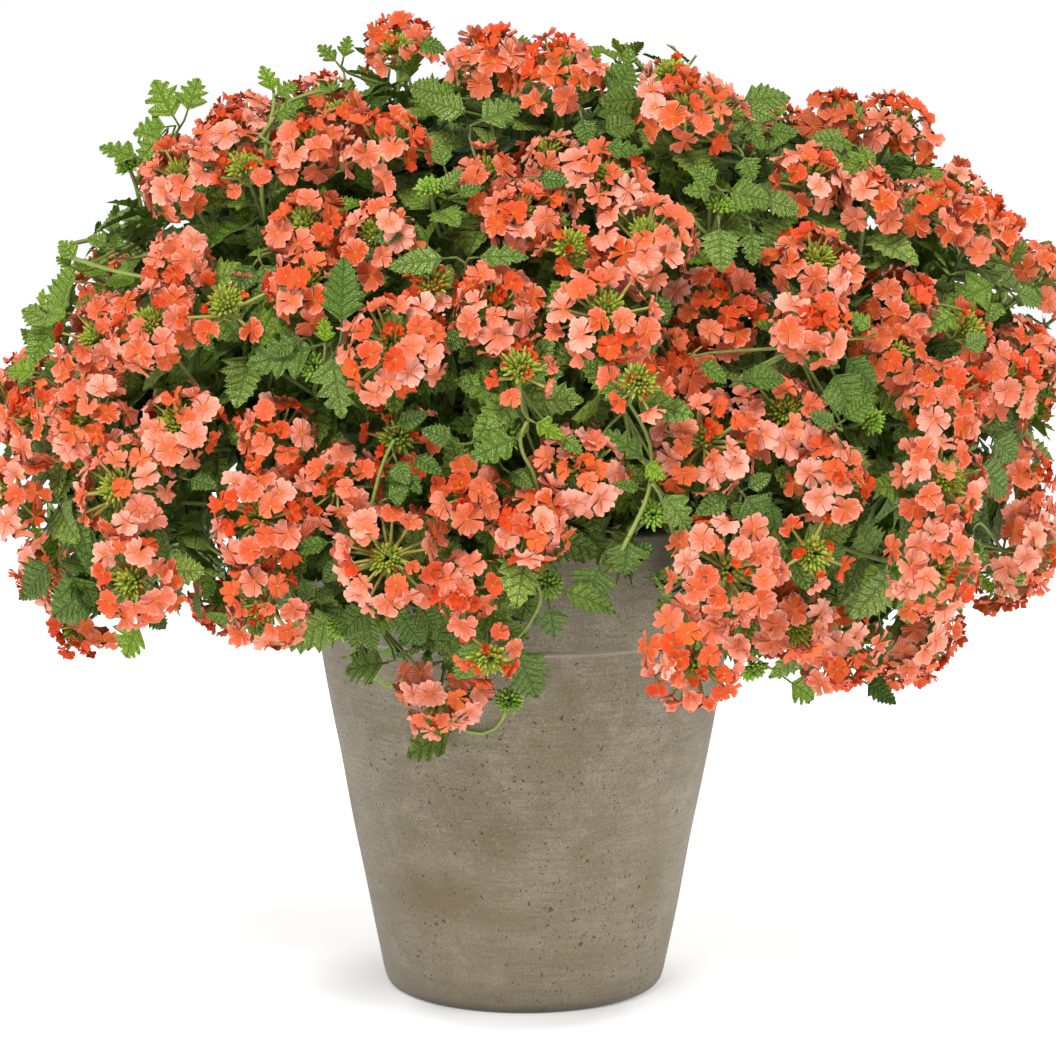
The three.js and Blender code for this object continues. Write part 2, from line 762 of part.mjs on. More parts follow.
function tube(line, thicks, sides) {
  const rings = [];
  let u = null;
  line.forEach((p, i) => {
    const before = i > 0 ? unit(sub(p, line[i - 1])) : null;
    const after = i + 1 < line.length ? unit(sub(line[i + 1], p)) : null;
    const axis = before && after ? unit(add(before, after)) : before || after;
    u = u ? carry(u, axis) : squareTo(axis)[0];
    rings.push(ring(p, u, cross(axis, u), Array(sides).fill(thicks[i]), 0));
  });
  return skin(rings);
}

// A flower stalk with the star of green buds on its end
function stalkSolid(head) {
  const s = head.r / HEAD_FULL_R;
  const flower = head.flower;
  const lift = (z) => add(head.at, times(head.axis, z));
  const line = head.stalk;
  const rings = [];
  let u = head.u;
  for (let i = line.length - 1; i >= 0; i--) {
    const after = i + 1 < line.length ? unit(sub(line[i + 1], line[i])) : head.axis;
    const before = i > 0 ? unit(sub(line[i], line[i - 1])) : after;
    const axis = unit(add(before, after));
    u = carry(u, axis);
    const radii = Array(STALK_SIDES).fill(i > 0 ? STALK_THICK : STALK_ROOT);
    rings.unshift(ring(line[i], u, cross(axis, u), radii, 0));
  }
  const tips = Array(STALK_SIDES).fill(flower ? STAR_R * s : SHOOT_STAR_R);
  rings.push(ring(lift(flower ? STAR_RIM_Z * s : SHOOT_STAR_Z), head.u, head.v, tips, 0));
  rings.push([lift(flower ? STAR_MIDDLE_Z * s : SHOOT_TIP_Z)]);
  return skin(rings);
}

// A toothed blade, folded along its middle, that thins out from its foot and its middle
// to its edge
function leafSolid(leaf) {
  const edge = [leaf.foot, ...leaf.right, leaf.tip, ...[...leaf.left].reverse()];
  const n = edge.length;
  const drop = times(leaf.face, -LEAF_THICK);
  const points = [...edge, leaf.middle, add(leaf.middle, drop), add(leaf.foot, drop)];
  const [middle, underMiddle, underFoot] = [n, n + 1, n + 2];
  const under = (i) => (i === 0 ? underFoot : i);
  const faces = [[0, underFoot, 1], [0, n - 1, underFoot]];
  for (let i = 0; i < n; i++) {
    const j = (i + 1) % n;
    faces.push([middle, i, j]);
    faces.push([underMiddle, under(j), under(i)]);
  }
  return solid(points, faces);
}

// A flower head: a scalloped ring of large florets, each dished to its middle, with
// grooves between them, and a hole through it for the stalk
function headSolid(head) {
  const n = head.r > HEAD_WIDE_R ? 6 : 5;
  const s = head.r / HEAD_FULL_R;
  const step = 2 * Math.PI / n;
  const place = (turn, r, z) => add(head.at, add(
    times(head.axis, z * s),
    add(times(head.u, r * s * Math.cos(turn)), times(head.v, r * s * Math.sin(turn))),
  ));
  const inner = (i) => i % n;
  const eye = (i) => n + i % n;
  const rim = (i) => 2 * n + i % (2 * n);
  const hole = (i) => 4 * n + i % 3;
  const points = [];
  for (let i = 0; i < n; i++) points.push(place(head.spin + i * step, ...HEAD_THROAT));
  for (let i = 0; i < n; i++) points.push(place(head.spin + (i + 0.5) * step, ...HEAD_EYE));
  for (let i = 0; i < n; i++) {
    for (const share of [FLORET_NOTCH, 1 - FLORET_NOTCH]) {
      points.push(place(head.spin + (i + share) * step, HEAD_FULL_R, HEAD_RIM_Z));
    }
  }
  for (let i = 0; i < 3; i++) {
    const turn = i * 2 * Math.PI / 3;
    const flat = add(times(head.u, Math.cos(turn)), times(head.v, Math.sin(turn)));
    const low = times(head.axis, -HEAD_UNDER * s);
    points.push(add(head.at, add(low, times(flat, HEAD_HOLE_R))));
  }
  const faces = [];
  for (let i = 0; i < n; i++) {
    const around = [inner(i), rim(2 * i), rim(2 * i + 1), inner(i + 1)];
    around.forEach((corner, k) => faces.push([eye(i), corner, around[(k + 1) % 4]]));
    faces.push([rim(2 * i + 2), inner(i + 1), rim(2 * i + 1)]);
  }
  // The funnel down to the hole, and the underside out to the rim
  const holes = [hole(0), hole(1), hole(2)];
  const inners = Array.from({ length: n }, (_, i) => inner(i));
  const rims = Array.from({ length: 2 * n }, (_, i) => rim(i));
  stitch(faces, points, head, inners, holes, false);
  stitch(faces, points, head, rims, holes, true);
  return solid(points, faces);
}

// Joins a large ring of corners to a small one by their turn about the head's axis
function stitch(faces, points, head, large, small, flip) {
  const turnOf = (k) => {
    const d = sub(points[k], head.at);
    const turn = Math.atan2(dot(d, head.v), dot(d, head.u));
    return turn < 0 ? turn + 2 * Math.PI : turn;
  };
  const order = [...large].sort((a, b) => turnOf(a) - turnOf(b));
  const nearest = (k) => Math.round(turnOf(k) / (2 * Math.PI / 3)) % 3;
  for (let i = 0; i < order.length; i++) {
    const a = order[i];
    const b = order[(i + 1) % order.length];
    const p = nearest(a);
    const q = nearest(b);
    push(faces, [a, b, small[p]], flip);
    if (p !== q) push(faces, [small[p], b, small[q]], flip);
  }
}

function push(faces, face, flip) {
  faces.push(flip ? [face[0], face[2], face[1]] : face);
}

// ---------------------------------------------------------------- pot and soil

// A turned solid from a profile that starts and ends on the axis
function turned(profile, sides) {
  const rings = profile.map(([r, z]) => (r === 0
    ? [[0, 0, z]]
    : ring([0, 0, z], [1, 0, 0], [0, 1, 0], Array(sides).fill(r), 0)));
  return skin(rings);
}

function potSolid() {
  const top = POT_HEIGHT;
  const inner = (z) => potRadius(z) - POT_WALL;
  let pot = turned([
    [0, 0],
    [POT_BASE_R - POT_FOOT_EASE, 0],
    [POT_BASE_R - POT_FOOT_EASE / 5, POT_FOOT_RISE / 4],
    [potRadius(POT_FOOT_RISE), POT_FOOT_RISE],
    [POT_MID_R, POT_MID_Z],
    [potRadius(POT_LINE_Z - POT_LINE_HALF), POT_LINE_Z - POT_LINE_HALF],
    [POT_LINE_R + POT_LINE_PROUD, POT_LINE_Z],
    [potRadius(POT_LINE_Z + POT_LINE_HALF), POT_LINE_Z + POT_LINE_HALF],
    [potRadius(top - POT_LIP_EASE), top - POT_LIP_EASE],
    [POT_RIM_R - POT_LIP_EASE, top],
    [inner(top) + POT_LIP_EASE, top],
    [inner(top), top - POT_LIP_EASE],
    [inner(POT_LINE_Z), POT_LINE_Z],
    [inner(POT_FLOOR), POT_FLOOR],
    [0, POT_FLOOR],
  ], POT_SIDES);
  for (let i = 0; i < DRAIN_COUNT; i++) {
    const turn = (i + 0.5) * 2 * Math.PI / DRAIN_COUNT;
    const at = [DRAIN_RING_R * Math.cos(turn), DRAIN_RING_R * Math.sin(turn), -1];
    const line = [at, add(at, [0, 0, POT_FLOOR + 2])];
    pot = pot.subtract(tube(line, [DRAIN_R, DRAIN_R], DRAIN_SIDES));
  }
  return pot;
}

function soilSolid() {
  const shrink = Math.cos(Math.PI / POT_SIDES);
  const reach = (z) => (potRadius(z) - POT_WALL) * shrink - FIT_GAP;
  const draw = seededDraws(SOIL_SEED);
  const bumpy = (r) => Array.from({ length: SOIL_SIDES }, (_, i) => {
    const turn = i * 2 * Math.PI / SOIL_SIDES;
    const z = SOIL_TOP + SOIL_BUMP * (2 * draw() - 1);
    return [r * Math.cos(turn), r * Math.sin(turn), z];
  });
  const flat = (r, z) => ring([0, 0, z], [1, 0, 0], [0, 1, 0], Array(SOIL_SIDES).fill(r), 0);
  const floor = POT_FLOOR + FIT_GAP;
  let soil = skin([
    [[0, 0, floor]],
    flat(reach(floor), floor),
    flat(reach(SOIL_TOP - SOIL_SHOULDER), SOIL_TOP - SOIL_SHOULDER),
    bumpy(reach(SOIL_TOP) - SOIL_SHOULDER),
    bumpy(SOIL_MIDDLE_R),
    [[0, 0, SOIL_TOP + SOIL_BUMP]],
  ]);
  for (let slice = 0; slice < SLICES; slice++) {
    const foot = limbLine(slice, 0)[0];
    const low = [foot[0], foot[1], foot[2] - FIT_GAP];
    const high = [foot[0], foot[1], SOIL_TOP + 4 * SOIL_BUMP];
    const bore = Array(2).fill(CROWN_THICK + 2 * FIT_GAP);
    soil = soil.subtract(tube([low, high], bore, LIMB_SIDES));
  }
  return soil;
}

// ---------------------------------------------------------------- the leafy stems

function stemSolid(slice, heads, leaves) {
  const thicks = LIMBS[0].map((_, i) => (i < 2 ? CROWN_THICK : LIMB_THICK));
  let body = tube(limbLine(slice, 0), thicks, LIMB_SIDES);
  for (const limb of [1, 2]) {
    const line = limbLine(slice, limb);
    body = body.add(tube(line, Array(line.length).fill(LIMB_THICK), LIMB_SIDES));
  }
  for (const head of heads) {
    if (head.slice === slice && head.stalk) body = body.add(stalkSolid(head));
  }
  for (const leaf of leaves) {
    if (leaf.slice === slice) body = body.add(leafSolid(leaf));
  }
  return body;
}

// ---------------------------------------------------------------- assembling

const looks = {
  pot: { color: 0x8f8474, roughness: 0.92, metalness: 0 },
  soil: { color: 0x3a2d22, roughness: 1, metalness: 0 },
  foliage: { color: 0x3f6b2a, roughness: 0.7, metalness: 0 },
  petals: { color: 0xee7560, roughness: 0.65, metalness: 0 },
};

const plant = new THREE.Group();

function addMesh(name, look, body) {
  const mesh = body.getMesh();
  const geometry = new THREE.BufferGeometry();
  const places = new Float32Array(mesh.vertProperties);
  geometry.setAttribute('position', new THREE.BufferAttribute(places, 3));
  geometry.setIndex(new THREE.BufferAttribute(new Uint32Array(mesh.triVerts), 1));
  geometry.computeVertexNormals();
  const material = new THREE.MeshStandardMaterial({ ...looks[look], flatShading: true });
  const piece = new THREE.Mesh(geometry, material);
  piece.name = name;
  plant.add(piece);
}

const heads = setOut();
const links = joinBunches(heads);
settle(heads, links);
growStalks(heads);
const leaves = growLeaves(heads);

addMesh('pot', 'pot', potSolid());
addMesh('soil', 'soil', soilSolid());
for (let slice = 0; slice < SLICES; slice++) {
  const name = `leafy_stem_${String(slice + 1).padStart(2, '0')}`;
  addMesh(name, 'foliage', stemSolid(slice, heads, leaves));
}
const bunches = [...new Set(heads.filter((h) => h.flower).map((h) => h.bunch))];
bunches.forEach((bunch, k) => {
  const members = heads.filter((h) => h.flower && h.bunch === bunch && h.stalk);
  let body = headSolid(members[0]);
  for (const member of members.slice(1)) body = body.add(headSolid(member));
  addMesh(`flower_bunch_${String(k + 1).padStart(2, '0')}`, 'petals', body);
});

export default plant;
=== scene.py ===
"""A garden verbena in full flower, growing in a tapered stone-coloured pot.

The front is at -Y and up is +Z. Lengths are in millimetres until a mesh is made of them.

The plant is set out as in the CAD part: flower heads and side shoots stand on a mound, each
on a stalk that branches from the limbs of its slice. Each CAD node is replaced by a finer
piece of the same form: flower bunches get their florets, leafy stems their round stems,
toothed leaves, buds and hairs, and the pot and the soil their surfaces.
"""

import math
from types import SimpleNamespace

import bpy
import numpy as np
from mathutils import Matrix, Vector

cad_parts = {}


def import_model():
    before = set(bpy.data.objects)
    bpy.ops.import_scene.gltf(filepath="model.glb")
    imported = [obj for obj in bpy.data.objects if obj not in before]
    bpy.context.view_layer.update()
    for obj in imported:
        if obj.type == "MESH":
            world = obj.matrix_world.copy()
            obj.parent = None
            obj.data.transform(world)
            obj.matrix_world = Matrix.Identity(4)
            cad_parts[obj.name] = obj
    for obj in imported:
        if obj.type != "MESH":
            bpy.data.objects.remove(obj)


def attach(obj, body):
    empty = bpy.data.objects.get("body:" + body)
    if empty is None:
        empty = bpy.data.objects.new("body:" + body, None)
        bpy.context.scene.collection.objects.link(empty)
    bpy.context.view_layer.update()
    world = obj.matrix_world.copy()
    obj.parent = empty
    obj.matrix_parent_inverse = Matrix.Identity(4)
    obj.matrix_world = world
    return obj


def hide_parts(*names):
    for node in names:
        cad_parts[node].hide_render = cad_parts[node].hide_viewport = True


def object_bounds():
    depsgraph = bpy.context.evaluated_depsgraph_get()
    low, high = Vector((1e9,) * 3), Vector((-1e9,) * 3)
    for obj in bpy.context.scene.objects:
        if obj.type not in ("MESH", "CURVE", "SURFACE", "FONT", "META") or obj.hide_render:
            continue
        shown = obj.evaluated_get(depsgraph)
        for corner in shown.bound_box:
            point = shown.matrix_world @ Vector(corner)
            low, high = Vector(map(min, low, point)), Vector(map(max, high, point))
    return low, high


MM = 0.001

# --------------------------------------------------------- dimensions shared with the CAD part

# The pot's side is straight from its foot to its middle, its raised line and its lip
POT_HEIGHT = 292
POT_BASE_R = 84
POT_MID_R = 115
POT_MID_Z = 162
POT_LINE_R = 125
POT_LINE_Z = 223
POT_RIM_R = 136
POT_WALL = 12
POT_FLOOR = 22
DRAIN_R = 6
DRAIN_RING_R = 42
DRAIN_COUNT = 3
SOIL_TOP = 262
SOIL_BUMP = 3

# The mound that the heads stand on, and how much they look out of it and up
MOUND_MID_Z = 345
MOUND_HALF_X = 330
MOUND_HALF_Y = 262
MOUND_RISE = 245
MOUND_DROP = 170
MOUND_POWER = 2.2
LOOK_OUT = 0.85
LOOK_UP = 0.34

# The plant is cut into slices like a cake. Each has three limbs, as radius and height, and
# its stalks branch from them: straight behind the head, and a gap away from other stalks
# that is given up step by step where there is no room.
SLICES = 10
SLICE_START = math.radians(-108)
SLICE_TURN = 2 * math.pi / SLICES
SLICE_MARGIN = 8.5
LIMB_THICK = 3.1
STALK_TURN = 0.68
STALK_BACK = -0.2
STALK_STRAIGHT = [40, 34, 28, 22]
STALK_GAPS = [6, 3, 0]
BRANCH_SHARES = [0.2, 0.45, 0.7]
BARE_STEM = 60
LIMBS = [
    [(42, 176), (42, 290), (54, 390), (84, 462), (98, 516)],
    [(45, 316), (150, 384), (224, 392)],
    [(42, 282), (104, 330), (168, 340), (208, 298)],
]

# A head of full size: its radius, the radius and height of its throat, the height of its rim
# and the depth of its underside. Smaller heads are scaled from it.
HEAD_FULL_R = 30
HEAD_THROAT = (10, 20)
HEAD_RIM_Z = 4
HEAD_UNDER = 8
NECK_GAP = 3.5

# The back half's heads are drawn by chance. Neighbours are joined into bunches, and then all
# heads settle: linked ones until they touch, others until they are clear of each other.
LAYOUT_SEED = 20417
HEAD_NODES = 48
HEADS_IN_ALL = 128
BACK_TRIES = 4000
BACK_SPACING = 70
BACK_FACING = 0.08
BACK_HEIGHTS = (196, 588)
BACK_RADII = (22, 31)
HEAD_TOUCH = 0.83
HEAD_LEAN = 0.36
BUNCH_LEAN = 0.12
HEAD_APART = 1.5
BUNCH_LIMIT = 8
BUNCH_GAP = 12
LOOSE_LIMIT = 2
BUNCH_CLOSE = 0.9
SETTLE_ROUNDS = 160
SETTLE_LAST = 30
SETTLE_NEAR = 40
SETTLE_STEP = SimpleNamespace(touch=0.3, level=0.4, bunch=0.4, others=0.5, pot=0.5)
HOME_PULL = 0.02
HEAD_OFF_POT = 10
HEAD_OFF_RIM = 40
HEAD_OFF_AXIS = 30

SHOOTS_IN_ALL = 14
SHOOT_SPACING = 44
SHOOT_R = 15
SHOOT_SUNK = 5
SHOOT_NECK = 10

# The larger leaves, on the straight ends of the stalks. A head's (True) and a shoot's (False)
# leaves rise by other angles and stand at other distances down the stalk.
LEAF_SEED = 7091
LEAF_ROUNDS = 16
LEAF_LENGTHS = (36, 50)
LEAF_ROLLS = (-0.25, 0.25)
LEAF_HALF = 0.36
LEAF_FOLD = 0.34
LEAF_ARCH = 0.22
LEAF_EDGE = [(0.30, 1.0), (0.46, 0.62), (0.66, 0.80)]
LEAF_MIDDLE = 0.55
LEAVES_IN_SLICE = 6
LEAF_SPACING = 27
LEAF_LIFTS = {True: (6, 28), False: (24, 46)}
LEAF_DOWNS = {True: (10, 22), False: (2, 8)}

# What stalks and leaves keep clear of, and by how much
STALK_CLEAR = SimpleNamespace(heads=3, pot=3.5, sides=2.6)
LEAF_CLEAR = SimpleNamespace(heads=1.5, pot=4, sides=1.2, stalks=3.6)
PROBE_STEP = 5

# The setting-out plane is y = 0. A point on it is moved along the line of sight from this
# point, between these depths, until it is on the mound.
SIGHT_POINT = (0, -2300, 620)
SIGHT_FROM_Y = -360
SIGHT_TO_Y = 40
SIGHT_STEP = 4

# The upper outline of the plant on the setting-out plane, as across and up
OUTLINE = [
    (-345, 330), (-314, 385), (-296, 425), (-262, 450), (-240, 490), (-205, 525),
    (-170, 548), (-110, 562), (-90, 578), (-25, 584), (45, 570), (100, 568),
    (112, 545), (160, 534), (205, 545), (240, 545), (259, 516), (286, 469), (320, 452),
    (345, 440),
]
OUTLINE_WIDE = 0.7
DRAW_IN = 0.98
DRAW_LEAST = 0.7

# Each head of the front half: across, up, breadth, and how far it is sunk into the mound
FRONT_HEADS = [
    (-172, 521, 46, 0), (-204, 481, 52, 0), (-164, 479, 42, 10), (-128, 505, 46, 6),
    (-267, 404, 62, 0), (-217, 392, 54, 0), (-208, 436, 46, 8), (-172, 405, 56, 4),
    (-126, 458, 50, 12), (-86, 454, 50, 0), (-133, 426, 50, 2), (-81, 509, 54, 0),
    (-107, 535, 36, 24), (-76, 394, 62, 0), (-76, 566, 38, 0), (-25, 556, 48, 0),
    (23, 543, 56, 0), (85, 551, 40, 0), (96, 514, 58, 0), (-21, 497, 40, 12),
    (22, 507, 40, 10), (49, 486, 54, 0), (2, 466, 48, 6), (68, 453, 58, 0),
    (35, 436, 42, 4), (-17, 412, 54, 0), (-55, 416, 36, 8), (46, 400, 62, 0),
    (-3, 372, 44, 6), (113, 412, 58, 0), (229, 519, 54, 0), (181, 533, 42, 20),
    (164, 494, 48, 0), (206, 473, 42, 6), (238, 468, 44, 4), (227, 421, 50, 0),
    (169, 432, 54, 0), (169, 396, 46, 4), (275, 454, 48, 0), (305, 440, 50, 0),
    (305, 384, 46, 0), (270, 407, 44, 4), (100, 380, 48, 20), (108, 337, 62, 0),
    (157, 342, 54, 2), (250, 345, 56, 0), (299, 364, 48, 4), (232, 380, 40, 16),
    (184, 296, 50, 0), (238, 295, 56, 0), (293, 266, 52, 0), (305, 305, 46, 4),
    (110, 259, 64, 0), (157, 261, 50, 4), (83, 210, 60, 0), (160, 219, 50, 2),
    (223, 254, 60, 0), (191, 206, 54, 0), (251, 211, 60, 0), (-302, 343, 50, 0),
    (-269, 338, 56, 0), (-209, 340, 52, 0), (-157, 336, 50, 0), (-232, 295, 62, 0),
    (-161, 287, 60, 0), (-214, 250, 56, 0), (-111, 302, 50, 0), (-148, 227, 52, 0),
    (-295, 293, 52, 0), (-306, 256, 46, 4), (-90, 337, 48, 8), (-79, 260, 64, 0),
    (-33, 240, 44, 6), (10, 288, 46, 0), (47, 295, 54, 0), (-26, 298, 44, 18),
    (-52, 179, 54, 0), (-17, 207, 42, 2), (62, 355, 42, 8),
]

# Each side shoot of the front half: across and up
FRONT_SHOOTS = [
    (118, 476), (82, 301), (-122, 385), (-59, 486), (-238, 500), (-17, 332),
    (205, 334), (-112, 214), (14, 243), (140, 186), (-268, 240),
]

# Heads of the list above that have only begun to open, that show their green middle, and
# that are paler than the others
OPENING_HEADS = {2, 7, 14, 17, 24, 26, 28, 41, 53, 70, 77, 78}
GREEN_HEADS = {1, 4, 5, 8, 9, 10, 21, 23, 27, 33, 34, 36, 44, 49, 55, 61, 63, 65, 71}
PALE_HEADS = {12, 43, 44, 76}

# -------------------------------------------------------------- dimensions of the finer pieces

# Florets. A petal is a grid of rows from the eye outwards and columns from edge to edge. It
# has half a width at each row and a reach at each column. The lower florets get a plainer one.
# A ruffle has a height, a number of waves and a share of the petal's own phase.
HEAD_SEED = 1000
FLORET_R = (7.9, 9.7)
YOUNG_R = (6.2, 8.2)
PETALS = 5
FINE_PETAL = SimpleNamespace(
    rows=np.array([0.0, 0.36, 0.72, 1.0]),
    halves=np.array([0.06, 0.26, 0.52, 0.47]),
    columns=np.array([-1.0, -0.66, -0.3, 0.0, 0.3, 0.66, 1.0]),
    reach=np.array([0.76, 0.95, 1.0, 0.88, 1.0, 0.95, 0.76]),
)
PLAIN_PETAL = SimpleNamespace(
    rows=np.array([0.0, 0.55, 1.0]),
    halves=np.array([0.06, 0.42, 0.47]),
    columns=np.array([-1.0, -0.5, 0.0, 0.5, 1.0]),
    reach=np.array([0.78, 1.0, 0.88, 1.0, 0.78]),
)
PETAL_RUFFLES = ((0.12, 4.4, 1), (0.05, 8.3, 2))
EYE_R = 0.6
EYE_SIDES = 6
TUBE_R = 0.75

# Rings of florets round a head: their tilt, how far apart the outer and the lower ones stand
# as a share of their radius, how far in from the head's edge the lower ones are and from the
# outer ring the inner ones, how far apart these stand in a green head (True) and in others,
# and how many of all are young
OUTER_TILT = 38
INNER_TILT = 15
LOWER_TILT = 76
OUTER_GAP = 1.62
LOWER_GAP = 2.0
LOWER_IN = 4.2
INNER_IN = 9.6
INNER_GAPS = {True: 19, False: 12.5}
YOUNG_SHARE = 0.17

# How much painted shade darkens florets for each millimetre their head is sunk, and in lower rings
SUNK_PAINTED_SHADE = 0.03
LOWER_PAINTED_SHADE = 0.45

# Buds: their length, and the number and tilt of each ring of a fan
BUD_R = 1.15
BUD_LENGTHS = {"head": (7, 10.5), "opening": (7.5, 11.5), "shoot": (5, 7.5)}
BUD_RINGS = {
    "open": [(1, 0), (7, 16), (12, 34)],
    "green": [(1, 0), (8, 12), (14, 26), (18, 42), (16, 60)],
    "shoot": [(1, 0), (7, 18), (12, 36), (15, 56), (12, 76)],
}
RED_BUDS = 0.12

# Leaves. Half the width along the blade, from its foot to its tip, for a half width of 1.
BLADE_AT = [0.0, 0.12, 0.17, 0.26, 0.40, 0.56, 0.74, 0.90, 1.0]
BLADE_HALF = [0.05, 0.06, 0.52, 0.88, 1.0, 0.92, 0.70, 0.42, 0.06]
BLADE_START = 0.12
VEIN_SLANT = 0.6

# Stems: the radii of a slice's upright limb at shares of its length, and of the others, the
# stalks and the three lengths of a stem that shows, from first to last
CROWN_RADII = ([0, 0.3, 0.5, 1], [4.2, 4.2, 2.8, 1.9])
LIMB_RADII = (2.9, 1.8)
STALK_RADII = (1.5, 1.15)
FRONT_STEM_RADII = (1.5, 1.35, 1.15, 1.0)
SPRIG_RADII = (1.5, 0.8)
LEAF_STALK_RADII = (1.2, 0.6)

# Short hairs on a stalk: how many, how long, half as broad, and how far from its middle
HAIRS_PER_STALK = 26
HAIR_LENGTHS = (1.0, 2.2)
HAIR_HALF = 0.1
HAIR_ROOT_R = 1.2

